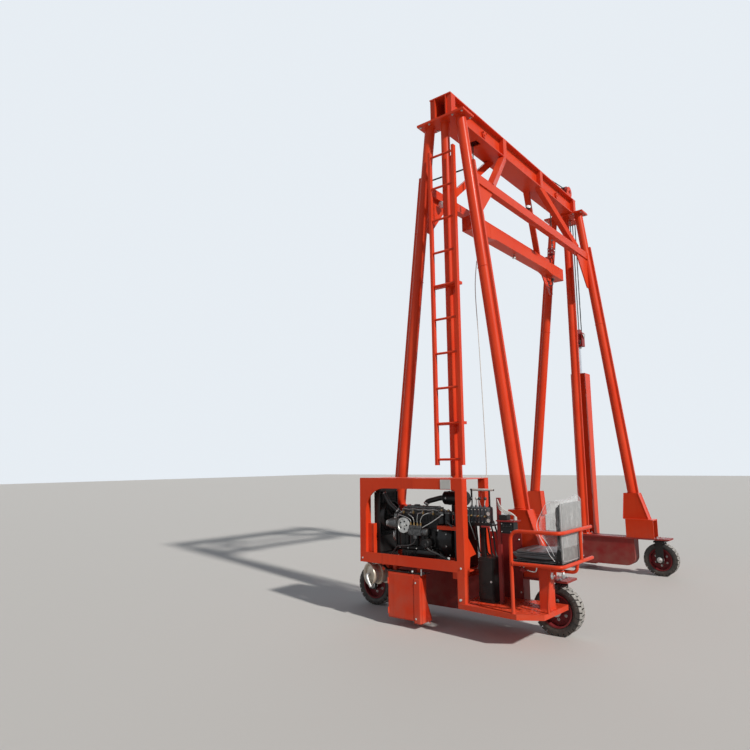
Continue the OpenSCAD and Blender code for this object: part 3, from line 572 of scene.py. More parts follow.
orange_paint = enamel("orange_enamel", (0.63, 0.04, 0.009, 1), (0.66, 0.058, 0.017, 1),
    (0.32, 0.017, 0.008, 1))
dark_red_paint = enamel("dark_red_enamel", (0.24, 0.018, 0.018, 1), (0.3, 0.034, 0.03, 1),
    (0.1, 0.01, 0.012, 1), rough=0.42, splashed=0.4)
black_paint = enamel("oily_black", (0.009, 0.009, 0.01, 1), (0.017, 0.016, 0.016, 1),
    (0.005, 0.004, 0.004, 1), rough=0.38, coat=0.2, worn=0.3, settled=0.12, splashed=0.18,
    primer=(0.1, 0.095, 0.09, 1))
rim_paint = enamel("crimson_rim", (0.155, 0.008, 0.014, 1), (0.2, 0.015, 0.022, 1), (0.06, 0.005, 0.008, 1),
    rough=0.4, splashed=0.16)
# Pale grey enamel for the blank plate; on the strip tops the same pale grey is a painted highlight.
grey_paint_and_highlight = enamel("pale_grey_enamel_and_highlight", (0.5, 0.5, 0.48, 1), (0.6, 0.59, 0.56, 1), (0.28, 0.25, 0.22, 1))
blue_grey_paint = enamel("valve_grey", (0.055, 0.065, 0.075, 1), (0.085, 0.095, 0.1, 1),
    (0.02, 0.02, 0.02, 1))

# %% [markdown]
# Bare metals differ in roughness and tint. Zinc is dull and mottled, chrome on a cylinder
# rod is a mirror with faint rings, cast aluminium is grainy. One recipe with a mottled
# colour, a roughness range and a grain covers them.

# %% Bare metals
def bare_metal(name, colour, shade, rough, rougher, grain, dented=0.15, settled=0.2):
    """Metal whose colour and roughness vary in small patches."""
    material, tree, shader = start_material(name)
    patches = spread(tree, noise_of(tree, grain, 5), 0.32, 0.7)
    dusty = use_group(tree, dust, Settled=settled, Splashed=0.3, Grain=12.0)
    dress(shader, Base_Color=mixed(tree, dusty, mixed(tree, patches, colour, shade), ROAD_DUST),
        Metallic=1.0)
    varied = maths(tree, "MULTIPLY_ADD", patches, rougher - rough, rough)
    dress(shader, Roughness=maths(tree, "MULTIPLY_ADD", dusty, 0.5, varied))
    bump(tree, shader, noise_of(tree, grain * 6, 3), dented, 0.001)
    return material


zinc = bare_metal("zinc_plate", (0.62, 0.62, 0.6, 1), (0.4, 0.4, 0.39, 1), 0.34, 0.55, 22)
chrome = bare_metal("chromed_rod", (0.82, 0.83, 0.85, 1), (0.7, 0.71, 0.73, 1), 0.07, 0.16, 30, 0.03, 0.05)
cast_aluminium = bare_metal("cast_aluminium", (0.13, 0.13, 0.13, 1), (0.05, 0.05, 0.05, 1), 0.42, 0.62, 60,
    0.4)
brass = bare_metal("brass_fitting", (0.48, 0.33, 0.15, 1), (0.26, 0.17, 0.08, 1), 0.28, 0.5, 40)
forged_steel = bare_metal("forged_steel", (0.1, 0.1, 0.105, 1), (0.05, 0.048, 0.047, 1), 0.45, 0.7, 35,
    0.35)


def build_silencer_metal():
    """Aluminised sheet, straw-coloured and sooty where the exhaust has heated it."""
    material, tree, shader = start_material("heated_sheet")
    patches = spread(tree, noise_of(tree, 7, 4), 0.35, 0.66)
    soot = spread(tree, noise_of(tree, 3.1, 5), 0.52, 0.74)
    tinted = mixed(tree, patches, (0.6, 0.55, 0.47, 1), (0.44, 0.36, 0.27, 1))
    dress(shader, Base_Color=mixed(tree, soot, tinted, (0.1, 0.075, 0.06, 1)), Metallic=0.3,
        Roughness=maths(tree, "MULTIPLY_ADD", soot, 0.3, 0.38))
    bump(tree, shader, noise_of(tree, 90, 2), 0.2, 0.001)
    return material


heated_sheet = build_silencer_metal()

# %% [markdown]
# Wire rope is many thin wires twisted into strands. The ropes below are modelled with real
# strands, so the material only adds the wires inside each strand and the black grease that
# keeps them from rusting. Rubber is nearly black but never shines evenly, and its hollows
# hold dust. The lug tops are paler: partly dust and scuffs, partly a painted highlight.

# %% Rope, rubber and hose
def build_rope_material():
    """Greased steel wire: dark in the grooves, with a thin metallic glint."""
    material, tree, shader = start_material("greased_wire")
    wires = noise_of(tree, 160, 3, (1, 1, 0.25))
    grease = spread(tree, noise_of(tree, 11, 4), 0.38, 0.66)
    steel = mixed(tree, spread(tree, wires, 0.4, 0.65), (0.055, 0.052, 0.05, 1), (0.2, 0.19, 0.18, 1))
    dress(shader, Base_Color=mixed(tree, grease, steel, (0.018, 0.016, 0.014, 1)), Metallic=0.6,
        Roughness=maths(tree, "MULTIPLY_ADD", grease, -0.15, 0.5))
    bump(tree, shader, wires, 0.4, 0.001)
    return material


def rubber(name, colour, scuffed, dusty_amount, grain=60, rough=0.62):
    """Rubber with scuffs and dust; the tyres take more dust than the hoses."""
    material, tree, shader = start_material(name)
    scuffs = spread(tree, noise_of(tree, grain, 6), 0.44, 0.7)
    dusty = use_group(tree, dust, Settled=dusty_amount * 0.6, Splashed=dusty_amount, Grain=16.0)
    scuffed_colour = mixed(tree, scuffs, colour, scuffed)
    dress(shader, Base_Color=mixed(tree, dusty, scuffed_colour, ROAD_DUST),
        Roughness=maths(tree, "MULTIPLY_ADD", scuffs, 0.2, rough))
    bump(tree, shader, noise_of(tree, grain * 5, 3), 0.35, 0.001)
    return material


wire_rope = build_rope_material()
tyre_rubber = rubber("tyre_rubber", (0.016, 0.015, 0.015, 1), (0.042, 0.04, 0.038, 1), 0.3)
# Pale lug-top rubber: dust and scuffs, and a painted highlight of the light falling on the lug tops.
tread_dust_and_highlight = rubber("tread_dust_and_highlight", (0.25, 0.24, 0.225, 1), (0.43, 0.42, 0.4, 1), 0.22, 45)
grey_vinyl = rubber("grey_vinyl", (0.19, 0.19, 0.19, 1), (0.28, 0.28, 0.275, 1), 0.2, 30, 0.42)
hose_rubber = rubber("hose_rubber", (0.014, 0.014, 0.015, 1), (0.03, 0.03, 0.03, 1), 0.25, 80, 0.45)
knob_plastic = rubber("black_knob", (0.01, 0.01, 0.011, 1), (0.018, 0.018, 0.018, 1), 0.1, 20, 0.25)

# %% [markdown]
# The seat is black vinyl with a fine leather grain, a little greyed where it is sat on. Its
# back is still under the clear film it came in. Film is thin, so it needs no thick glass: a
# mostly transparent sheet reads as film. Its pale colour shows more edge-on, a painted sheen,
# and along its creases, partly whitened film and partly a painted highlight.

# %% Vinyl, film and lamp glass
def build_vinyl():
    """Black vinyl: cells of a Voronoi texture give the pressed leather grain."""
    material, tree, shader = start_material("seat_vinyl")
    place = add_node(tree, "TexCoord")
    cells = add_node(tree, "TexVoronoi")
    cells.inputs["Scale"].default_value = 420
    tree.links.new(place.outputs["Object"], cells.inputs["Vector"])
    greyed = spread(tree, noise_of(tree, 6, 4), 0.4, 0.68)
    dusty = use_group(tree, dust, Settled=0.22, Splashed=0.0, Grain=14.0)
    black = mixed(tree, greyed, (0.022, 0.022, 0.024, 1), (0.055, 0.054, 0.055, 1))
    dress(shader, Base_Color=mixed(tree, dusty, black, ROAD_DUST), Roughness=maths(tree, "MULTIPLY_ADD",
        greyed, 0.14, 0.36), Specular_IOR_Level=0.6)
    bump(tree, shader, cells.outputs["Distance"], 0.35, 0.0012)
    return material


def build_film():
    """Clear film: see-through; its pale colour shows more edge-on, a painted sheen, and along its creases,
    partly whitened and partly a painted highlight.
    """
    material, tree, shader = start_material("clear_film")
    creases = noise_of(tree, 13, 5, (1, 1, 0.45))
    dress(shader, Base_Color=(0.86, 0.88, 0.9, 1), Roughness=0.08)
    # Where the film is seen edge-on, more of its pale colour shows: a painted sheen.
    edge_on = add_node(tree, "LayerWeight")
    edge_on.inputs["Blend"].default_value = 0.22
    # Along the crease noise more of the pale colour shows as well: partly whitened creases, partly a
    # painted highlight.
    crumpled = maths(tree, "MULTIPLY_ADD", spread(tree, creases, 0.54, 0.66), 0.2, 0.045)
    dress(shader, Alpha=maths(tree, "MULTIPLY_ADD", edge_on.outputs["Facing"], 0.42, crumpled))
    bump(tree, shader, creases, 0.9, 0.012)
    return material


def build_lens():
    """Frosted pale lamp glass with moulded ribs."""
    material, tree, shader = start_material("lamp_lens")
    ribs = noise_of(tree, 40, 1, (1, 0.05, 1))
    dress(shader, Base_Color=mixed(tree, ribs, (0.9, 0.91, 0.92, 1), (0.7, 0.73, 0.76, 1)), Roughness=0.12,
        Coat_Weight=0.6)
    bump(tree, shader, ribs, 0.5, 0.003)
    return material


seat_vinyl = build_vinyl()
clear_film = build_film()
# Pale glossy tubes along the film's edges and folds are painted highlights of light on the film.
film_edge_highlight = rubber("film_edge_highlight", (0.7, 0.71, 0.72, 1), (0.86, 0.87, 0.88, 1), 0.0, 60, 0.12)
lamp_lens = build_lens()
pale_cable = rubber("pale_cable", (0.55, 0.54, 0.51, 1), (0.68, 0.67, 0.64, 1), 0.2, 50, 0.5)
print("materials:", len(bpy.data.materials))

# %% [markdown]
# The CAD nodes whose shape is right stay, and only change their finish. The record names a
# slot for each node, so the finish is looked up from that and set on the object, never on
# its mesh's geometry.

# %% Finish the CAD's own nodes
SLOT_FINISH = {"orange_paint": orange_paint, "dark_red_paint": dark_red_paint, "black_paint": black_paint,
    "bare_steel": heated_sheet, "chrome_rod": chrome, "seat_vinyl": seat_vinyl,
    "forged_shackle": forged_steel, "wire_rope": wire_rope, "tyre_rubber": tyre_rubber}
slot_of = {part["node"]: part["material_slot"] for part in frame["record"]["subparts"]}
for name, made in nodes.items():
    made.data.materials.clear()
    made.data.materials.append(rim_paint if name.startswith("rim_") else SLOT_FINISH[slot_of[name]])
print("finished", len(nodes), "CAD nodes")

# %% [markdown]
# ## Wheels
# The four wheels are the same lugged tyre on a dark red rim. A tyre is a carcass turned to
# its section, with angled lugs pressed out of it on alternating sides. The lugs here follow
# the round of the tread and run over its shoulder, which is what makes a tyre look heavy.

# %% Tyre shape
WHEELS = {"near_front": (-1.06, -1.8), "near_rear": (1.06, -1.8),
    "far_front": (-1.06, 1.8), "far_rear": (1.06, 1.8)}
WHEEL_Z = 0.22
TYRE_R = 0.22
TREAD_R = 0.205
LUGS = 24


def carcass_profile():
    """(distance across, radius) of the tyre from bead to bead over the tread."""
    half = [(0.052, 0.15), (0.062, 0.153), (0.0685, 0.162), (0.0725, 0.175), (0.0735, 0.186), (0.07, 0.196),
        (0.06, 0.203), (0.04, TREAD_R), (0.0, TREAD_R + 0.001)]
    mirrored = [(across, radius) for across, radius in reversed(half[:-1])]
    return [(-across, radius) for across, radius in half] + mirrored


def add_lug(shape, centre, side, angle):
    """One chevron lug: it starts at the tread's middle and sweeps back over the shoulder."""
    rows = []
    for across, lift, swing, half_wide in ((0.0015, 0.0145, 0.0, 0.12), (0.022, 0.015, 0.01, 0.122),
            (0.046, 0.015, 0.03, 0.124), (0.0655, 0.0185, 0.048, 0.126), (0.074, 0.003, 0.055, 0.126)):
        turn = angle + swing
        base = TREAD_R - 0.004 if across < 0.06 else 0.19
        top = min(TYRE_R - 0.0004, TREAD_R + lift)
        if across > 0.07:
            top, base = 0.196, 0.18
        row = []
        for radius, spread_by in ((base, 0.9), (top, 0.84), (top, -0.84), (base, -0.9)):
            at = turn + half_wide * spread_by
            row.append(shape.mesh.verts.new((centre[0] + radius * cos(at), centre[1] + side * across,
                WHEEL_Z + radius * sin(at))))
        rows.append(row)
    for first, second in zip(rows, rows[1:]):
        for step in range(3):
            shape.mesh.faces.new((first[step], first[step + 1], second[step + 1], second[step]))
    shape.mesh.faces.new(rows[0])
    shape.mesh.faces.new(list(reversed(rows[-1])))


def tyre(wheel):
    """The whole tyre of one wheel, with its carcass and two rows of lugs."""
    x, y = WHEELS[wheel]
    shape = Shape()
    shape.turned(carcass_profile(), (x, y, WHEEL_Z), FAR, 72)
    for ring_r, across in ((0.171, 0.0715), (0.16, 0.0675)):
        for side in (-1, 1):
            shape.turned([(-0.001, ring_r - 0.0016), (0.0012, ring_r), (-0.001, ring_r + 0.0016)],
                (x, y + side * across, WHEEL_Z), (0, side, 0), 72)
    for index in range(LUGS):
        add_lug(shape, (x, y), 1, tau * index / LUGS)
        add_lug(shape, (x, y), -1, tau * (index + 0.5) / LUGS)
    made = shape.piece("lugged_tyre_" + wheel, tyre_rubber, "tyre_rubber", 30, body="wheel_" + wheel)
    # Lug tops take the pale tread rubber, partly dust and partly a painted highlight.
    made.data.materials.append(tread_dust_and_highlight)
    for face in made.data.polygons:
        middle = face.center
        reach = hypot(middle.x - x, middle.z - WHEEL_Z)
        face.material_index = 1 if reach > 0.2125 or reach < 0.2 and abs(middle.y - y) < 0.03 else 0
    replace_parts(made, "tyre_" + wheel)


for wheel in WHEELS:
    tyre(wheel)

# %% [markdown]
# On each rim sit a ring of wheel nuts on studs, a hub seal and a valve. The axle's own nuts
# are outside the fork, so they ride on the fork's body: on the steered fork in front, and on
# the frame behind.

# %% Hubs, nuts and valve stems
FORK_BODY = {"near_front": "steering_near", "far_front": "steering_far", "near_rear": "frame",
    "far_rear": "frame"}


def hub(wheel):
    """Wheel nuts, hub seal and valve on both sides of one rim."""
    x, y = WHEELS[wheel]
    shape = Shape()
    for out in (-1, 1):
        face = y + out * 0.012
        shape.turned([(0.0, 0.05), (0.004, 0.05), (0.006, 0.047), (0.008, 0.03), (0.008, 0.024)],
            (x, y + out * 0.0705, WHEEL_Z), (0, out, 0), 36)
        for turn in turns(6, 0.5):
            place = (x + 0.082 * cos(turn), face, WHEEL_Z + 0.082 * sin(turn))
            shape.bolts([place], (0, out, 0), 0.0115)
            shape.rod(place, (place[0], place[1] + out * 0.024, place[2]), 0.0045, 10)
        shape.turned([(0.0, 0.134), (0.004, 0.1365), (0.008, 0.134)], (x, face - out * 0.006, WHEEL_Z),
            (0, out, 0), 56)
    out = -1 if y < 0 else 1
    valve = (x + 0.118, y + out * 0.014, WHEEL_Z + 0.045)
    shape.tube(smooth_path([valve, (valve[0], valve[1] + out * 0.016, valve[2]),
        (valve[0] - 0.012, valve[1] + out * 0.03, valve[2] - 0.004)]), 0.0038, 8)
    shape.piece("hub_" + wheel, zinc, "dark_red_paint", body="wheel_" + wheel)


def axle_ends(wheel):
    """The nut, washer and split pin at each end of one axle."""
    x, y = WHEELS[wheel]
    shape = Shape()
    for out in (-1, 1):
        face = y + out * 0.099
        shape.turned([(0, 0.036), (0.006, 0.036), (0.007, 0.034), (0.007, 0)], (x, face, WHEEL_Z),
            (0, out, 0), 32)
        shape.solid([(0.006, 0.028), (0.024, 0.028), (0.027, 0.024)], (x, face, WHEEL_Z), (0, out, 0), 6)
        shape.rod((x, face, WHEEL_Z), (x, face + out * 0.036, WHEEL_Z), 0.013, 20)
        shape.rod((x - 0.022, face + out * 0.031, WHEEL_Z + 0.004),
            (x + 0.022, face + out * 0.031, WHEEL_Z - 0.004), 0.0022, 8)
    shape.piece("axle_ends_" + wheel, zinc, "black_paint", body=FORK_BODY[wheel])


for wheel in WHEELS:
    hub(wheel)
    axle_ends(wheel)

# %% [markdown]
# ## Portal
# The CAD gives the portal its true tubes and plates. What makes it look welded together by
# hand is added here: stitch welds along the doubling strips, beads round the tube joints,
# bolts in the head plates and pale grey tops on the open strip ends, which are painted
# highlights of the sun. The legs lean, so a small helper finds any place along a leg, out
# from its axis and across it.

# %% Places on a leaning leg
SIDE_Y = 1.8
LEG_TOP = (0.205, 5.43)
LEG_FOOT = (0.772, 0.75)
LEG_R = 0.06
LEANING = atan2(LEG_FOOT[0] - LEG_TOP[0], LEG_TOP[1] - LEG_FOOT[1])
LEGS = [(front, side) for front in (-1, 1) for side in (-1, 1)]


def on_leg(front, side, height, out=0.0, across=0.0):
    """A point beside a leg's axis: `out` away from the column, `across` along the span."""
    up = (height - LEG_FOOT[1]) / cos(LEANING)
    away = Vector((front * cos(LEANING), 0, sin(LEANING)))
    along = Vector((-front * sin(LEANING), 0, cos(LEANING)))
    return Vector((front * LEG_FOOT[0], side * SIDE_Y + across, LEG_FOOT[1])) + along * up + away * out


def stitches(shape, start, end, length=0.06, gap=0.16, size=0.004):
    """Short beads with gaps between them, as a long seam is welded."""
    start, end = Vector(start), Vector(end)
    reach = (end - start).length
    for index in range(int(reach / (length + gap))):
        first = start.lerp(end, (index * (length + gap) + gap / 2) / reach)
        last = start.lerp(end, (index * (length + gap) + gap / 2 + length) / reach)
        shape.weld(first, last, size)


# %% Welds on the legs
def leg_welds():
    """Stitches along each strip, rings at the tube joints, beads round the feet."""
    shape = Shape()
    for front, side in LEGS:
        for across in (-0.019, 0.019):
            stitches(shape, on_leg(front, side, 1.16, 0.054, across),
                on_leg(front, side, 4.8, 0.054, across))
        along = on_leg(front, side, 3.7) - on_leg(front, side, 3.6)
        for height in (3.62, 1.125):
            shape.weld_round(on_leg(front, side, height), along, LEG_R + 0.001, 0.0045)
        for across in (-0.0705, 0.0705):
            y = side * SIDE_Y + across
            shape.weld((front * 0.942, y, 0.752), (front * 0.602, y, 0.752), 0.006)
            shape.weld((front * 0.942, y, 0.752), (front * 0.826, y, 1.108), 0.0045)
            shape.weld((front * 0.602, y, 0.752), (front * 0.632, y, 1.108), 0.0045)
    shape.piece("leg_welds", orange_paint, "orange_paint", 60)


def strip_top_highlights():
    """Pale grey blocks on the tops of the doubling strips: painted highlights of the sun on their top
    faces.
    """
    shape = Shape()
    for front, side in LEGS:
        foot = on_leg(front, side, 4.838, 0.073)
        top = on_leg(front, side, 4.846, 0.073)
        shape.bar(foot, top, 0.034, 0.034, FAR, 0.003)
    for side in (-1, 1):
        shape.block((0.046, side * SIDE_Y - 0.015, 4.99), (0.078, side * SIDE_Y + 0.015, 4.997))
    # The pale grey of these tops is a painted highlight, where the sun falls on them.
    shape.piece("strip_top_highlights", grey_paint_and_highlight, "orange_paint")


leg_welds()
strip_top_highlights()


# %% Head plates, tie joints and column feet
def portal_joints():
    """Beads where the tubes meet the plates and ties, with the column's foot plate and its gussets."""
    shape = Shape()
    for side in (-1, 1):
        y = side * SIDE_Y
        shape.weld_round((0, y, 0.503), UP, 0.053, 0.006)
        shape.weld_round((0, y, 5.427), UP, 0.052, 0.006)
        shape.block((-0.11, y - 0.105, 0.5), (0.11, y + 0.105, 0.514), 0.004)
        for turn in (45, 135, 225, 315):
            place = Vector((cos(radians(turn)), sin(radians(turn)), 0))
            foot = Vector((0, y, 0.514)) + place * 0.05
            shape.bar(foot + place * 0.02, foot + place * 0.008 + Vector((0, 0, 0.1)), 0.008, 0.045,
                (-place.y, place.x, 0))
        for front in (-1, 1):
            joint = on_leg(front, side, 5.427)
            shape.weld_round(joint, UP, LEG_R + 0.002, 0.006)
            tie = on_leg(front, side, 4.7)
            for height in (4.6495, 4.7505):
                end = y - side * (LEG_R + 0.002)
                shape.weld((tie.x - 0.04, end, height), (tie.x + 0.04, end, height), 0.005)
            for reach in (-0.04, 0.04):
                shape.weld((tie.x + reach, y - side * 0.062, 4.652),
                    (tie.x + reach, y - side * 0.062, 4.748), 0.005)
            face = front * 0.295 + (0.006 if front > 0 else 0.024)
            shape.weld((face + 0.011, y - side * 0.062, 4.2), (face - 0.02, y - side * 0.062, 4.64), 0.005)
    shape.piece("portal_joints", orange_paint, "orange_paint", 50)


def portal_bolts():
    """Bolts through the head plates, the column feet and the leg boxes."""
    shape = Shape()
    for side in (-1, 1):
        y = side * SIDE_Y
        for x in (-0.275, -0.155, 0.155, 0.275):
            for across in (-0.092, 0.092):
                shape.bolts([(x, y + across, 5.43)], DOWN, 0.012)
                shape.bolts([(x, y + across, 5.455)], UP, 0.012)
        for x in (-0.085, 0.085):
            for across in (-0.082, 0.082):
                shape.bolts([(x, y + across, 0.514)], UP, 0.012)
        for front in (-1, 1):
            for x in (0.588, 1.045):
                shape.bolts([(front * x, y + across, 0.5) for across in (-0.085, 0.085)], UP, 0.012)
    for x in (1.0, 1.12):
        for side in (-1, 1):
            shape.bolts([(x, side * SIDE_Y + across, 0.5) for across in (-0.075, 0.075)], UP, 0.011)
    shape.piece("portal_bolts", zinc, "bare_steel")


portal_joints()
portal_bolts()


# %% Kingpins
def kingpin(name, side):
    """The castle nut, washer and grease nipple on a steered fork's kingpin."""
    x, y = -1.06, side * SIDE_Y
    shape = Shape()
    shape.turned([(0.0, 0.029), (0.0, 0.052), (0.006, 0.052), (0.006, 0.029)], (x, y, 0.501), UP, 36)
    shape.solid([(0.006, 0.044), (0.03, 0.044), (0.034, 0.04)], (x, y, 0.501), UP, 6)
    for index in range(6):
        turn = radians(60 * index + 30)
        shape.block((x + 0.03 * cos(turn) - 0.006, y + 0.03 * sin(turn) - 0.006, 0.534),
            (x + 0.03 * cos(turn) + 0.006, y + 0.03 * sin(turn) + 0.006, 0.544), 0.002)
    shape.turned([(0.058, 0.0), (0.058, 0.007), (0.063, 0.007), (0.066, 0.0035), (0.071, 0.004),
        (0.073, 0.0)], (x, y, 0.496), UP, 12)
    shape.piece("kingpin_nut_" + name, zinc, "black_paint", body="steering_" + name)


kingpin("near", -1)
kingpin("far", 1)

# %% [markdown]
# ## Hoist
# One rope runs from each socket up over its sheave in the top beam, across to the bracket's
# sheave, down to the crosshead on the cylinder and back up to an anchor. A rope is six
# strands laid in a helix round its path. The straight falls are separate pieces on no body.

# %% Stranded rope
ROPE_R = 0.008
STRANDS = 6


def dense(points, step=0.006):
    """The same path with a point at every step of its length."""
    path = [Vector(points[0])]
    for point in points[1:]:
        start, end = path[-1].copy(), Vector(point)
        count = max(1, round((end - start).length / step))
        path += [start.lerp(end, (index + 1) / count) for index in range(count)]
    return path


def add_rope(shape, points, radius=ROPE_R, lay=0.075):
    """Six strands twisted round a path, one turn in each `lay` of length."""
    path = dense(points)
    heading = (path[1] - path[0]).normalized()
    side = heading.orthogonal().normalized()
    sides, turns, walked = [], [], 0.0
    for index, point in enumerate(path):
        before, after = path[max(index - 1, 0)], path[min(index + 1, len(path) - 1)]
        heading = (after - before).normalized()
        side = (side - heading * side.dot(heading)).normalized()
        sides.append((side.copy(), heading.cross(side)))
        turns.append(tau * walked / lay)
        walked += (after - point).length
    for strand in range(STRANDS):
        start = tau * strand / STRANDS
        shape.tube([point + radius * 0.6 * (across * cos(turn + start) + other * sin(turn + start))
            for point, (across, other), turn in zip(path, sides, turns)], radius * 0.42, 5)


def arc(centre, radius, first, last, x, steps=14):
    """Points on a sheave's groove in the YZ plane; angles in degrees, 0 along +Y, 90 up."""
    return [Vector((x, centre[0] + radius * cos(radians(first + (last - first) * step / steps)),
        centre[1] + radius * sin(radians(first + (last - first) * step / steps))))
        for step in range(steps + 1)]


# %% Ropes
SHEAVE_Z = 5.585
SHEAVE_R = 0.092
FALL_Y = 1.13
BRACKET = (1.841, 5.865)
CROSSHEAD = (2.041, 3.52)
CROSS_R = 0.108
SOCKET_TOP = 4.739
ANCHOR_Z = 5.495
ROPES = [("near", -0.02, -FALL_Y, -FALL_Y + SHEAVE_R), ("far", 0.02, FALL_Y, FALL_Y + SHEAVE_R)]


def ropes():
    """All the hoist's ropes, each part on the body or bodies that move it."""
    over_beam, under_crosshead = shapes(2)
    for name, x, fall_y, sheave_y in ROPES:
        rise = degrees(atan2(BRACKET[1] - SHEAVE_Z, BRACKET[0] - sheave_y))
        add_rope(over_beam, arc((sheave_y, SHEAVE_Z), SHEAVE_R, 180, 90 + rise, x)
            + arc(BRACKET, SHEAVE_R, 90 + rise, 0, x))
        add_rope(under_crosshead, arc(CROSSHEAD, CROSS_R, 180, 360, x))
        fall = Shape()
        add_rope(fall, [(x, fall_y, SOCKET_TOP), (x, fall_y, SHEAVE_Z)])
        made = fall.piece("hoist_rope_" + name, wire_rope, "wire_rope", 60, body=None)
        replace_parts(made, "hoist_ropes")
        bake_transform(made)
        for label, y, top in (("inner", 1.933, BRACKET[1]), ("outer", 2.149, ANCHOR_Z)):
            fall = Shape()
            add_rope(fall, [(x, y, CROSSHEAD[1]), (x, y, top)])
            made = fall.piece("mast_rope_" + name + "_" + label, wire_rope, "wire_rope", 60, body=None)
            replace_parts(made, "mast_ropes")
            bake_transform(made)
    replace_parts(over_beam.piece("beam_ropes_laid", wire_rope, "wire_rope", 60), "beam_ropes")
    under_crosshead.piece("crosshead_rope", wire_rope, "wire_rope", 60, body="lift_rod")


ropes()


# %% Sockets, keepers and rope ends
def rope_ends():
    """Pins, wedges and clips at the sockets, and the keeper plates on the sheave pins."""
    shape = Shape()
    for name, x, fall_y, sheave_y in ROPES:
        shape.turned([(0, 0.013), (0.012, 0.013), (0.018, 0.0105), (0.03, 0.0105)], (x, fall_y, SOCKET_TOP),
            UP, 20)
        for out in (-1, 1):
            shape.rod((out * 0.04, fall_y, 4.69), (out * 0.056, fall_y, 4.69), 0.012)
            shape.turned([(0, 0), (0, 0.019), (0.006, 0.019), (0.007, 0)], (out * 0.044, fall_y, 4.69),
                (out, 0, 0), 6)
            shape.bolts([(x0, fall_y + out * 0.036, z) for x0 in (-0.026, 0.026) for z in (4.662, 4.716)],
                (0, out, 0), 0.006)
        for height in (4.79, 4.86):
            shape.hose([(x - 0.012, fall_y + 0.022, height), (x - 0.012, fall_y - 0.006, height),
                (x, fall_y - 0.013, height), (x + 0.012, fall_y - 0.006, height),
                (x + 0.012, fall_y + 0.022, height)], 5, 0.003, 8)
            shape.block((x - 0.018, fall_y + 0.007, height - 0.007),
                (x + 0.018, fall_y + 0.014, height + 0.007), 0.002)
            shape.bolts([(x + out * 0.012, fall_y + 0.014, height) for out in (-1, 1)], FAR, 0.0055)
    shape.piece("rope_sockets_pins", zinc, "bare_steel", body="lifting_beam")

    keepers = Shape()
    for name, x, fall_y, sheave_y in ROPES:
        for out in (-1, 1):
            keepers.block((out * 0.101, sheave_y - 0.05, SHEAVE_Z + 0.012),
                (out * 0.107, sheave_y + 0.05, SHEAVE_Z + 0.038))
            keepers.bolts([(out * 0.107, sheave_y + across, SHEAVE_Z + 0.025)
                for across in (-0.034, 0.034)], (out, 0, 0), 0.008)
            keepers.solid([(0, 0.024), (0.006, 0.024), (0.009, 0.021)], (out * 0.099, sheave_y, SHEAVE_Z),
                (out, 0, 0), 28)
    keepers.piece("sheave_keepers", orange_paint, "orange_paint", 50)
    keepers = Shape()
    for x in (-0.02, 0.02):
        keepers.turned([(0, 0.016), (0.01, 0.016), (0.012, 0.013), (0.045, 0.013)], (x, 2.149, 5.5), DOWN,
            24)
        keepers.turned([(0, 0), (0, 0.017), (0.016, 0.017), (0.018, 0)], (x, 2.149, 5.455), UP, 6)
    keepers.piece("rope_anchor_nuts", zinc, "bare_steel")


def shackle_fittings(name, side):
    """The bolt head, nut and cotter of one shackle's pin."""
    y, z = side * 1.05, 4.227
    shape = Shape()
    shape.solid([(0, 0.021), (0.014, 0.021), (0.016, 0.018)], (0.039, y, z), REAR, 6)
    shape.turned([(0, 0), (0, 0.021), (0.01, 0.021), (0.012, 0)], (-0.039, y, z), FRONT, 28)
    for out in (-1, 1):
        shape.solid([(-0.008, 0.021), (0.008, 0.021)], (out * 0.03, y, z), REAR, 28)
    shape.tube(smooth_path([(0.051, y - 0.02, z + 0.004), (0.051, y, z), (0.051, y + 0.022, z - 0.006)]),
        0.0018, 6)
    shape.piece("shackle_fittings_" + name, forged_steel, "forged_shackle", body="shackle_" + name)


rope_ends()
shackle_fittings("near", -1)
shackle_fittings("far", 1)

# %% [markdown]
# The lifting beam carries a lamp underneath and a cable to it along its top, held by clips.
# Another lamp stands on the rear tie, and a small dome lamp hangs on the front tie.

# %% Lamps and the beam's cable
def lamp(name, place, facing, body, node=None, size=1.0, finish=None):
    """A round work lamp: a pressed bell, a rim and a ribbed lens, on a short stem."""
    bell, lens = shapes(2)
    bell.turned([(along * size, radius * size) for along, radius in ((-0.072, 0.0), (-0.072, 0.01),
        (-0.046, 0.011), (-0.044, 0.018), (-0.03, 0.026), (-0.01, 0.031), (0.0, 0.033), (0.004, 0.036),
        (0.01, 0.036), (0.012, 0.033), (0.004, 0.03))], place, facing, 32)
    lens.turned([(along * size, radius * size) for along, radius in ((0.004, 0.031), (0.012, 0.029),
        (0.019, 0.02), (0.022, 0.0))], place, facing, 32)
    made = bell.piece(name, finish or black_paint, "bare_steel", body=body)
    lens.piece(name + "_lens", lamp_lens, "bare_steel", body=body)
    if node:
        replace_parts(made, node)


def spacer_bar():
    """A black bar from leg to leg behind the near column, and the dome lamp's bracket."""
    shape = Shape()
    shape.rod((-0.272, -1.742, 4.822), (0.272, -1.742, 4.822), 0.009)
    for x in (-0.272, 0.272):
        shape.solid([(-0.016, 0.015), (0.016, 0.015)], (x, -1.742, 4.822), REAR, 24)
    shape.tube([(-0.27, -1.5, 4.64), (-0.236, -1.5, 4.64), (-0.232, -1.485, 4.618)], 0.007, 12)
    shape.tube(smooth_path([(0.293, -0.262, 4.75), (0.29, -0.26, 4.775), (0.272, -0.245, 4.795),
        (0.256, -0.235, 4.806)]), 0.009, 12)
    shape.turned([(0, 0), (0, 0.024), (0.005, 0.024), (0.007, 0)], (0.293, -0.262, 4.7525), UP, 20)
    shape.piece("spacer_bar", black_paint, "bare_steel")
    cable = Shape()
    cable.hose([(0.352, -1.815, 3.7), (0.323, -1.815, 3.387), (0.355, -1.835, 2.8), (0.39, -1.86, 2.1),
        (0.424, -1.9, 1.5), (0.42, -1.93, 1.416)], 8, 0.0045, 10)
    cable.piece("leg_cable", pale_cable, "black_paint", 60)


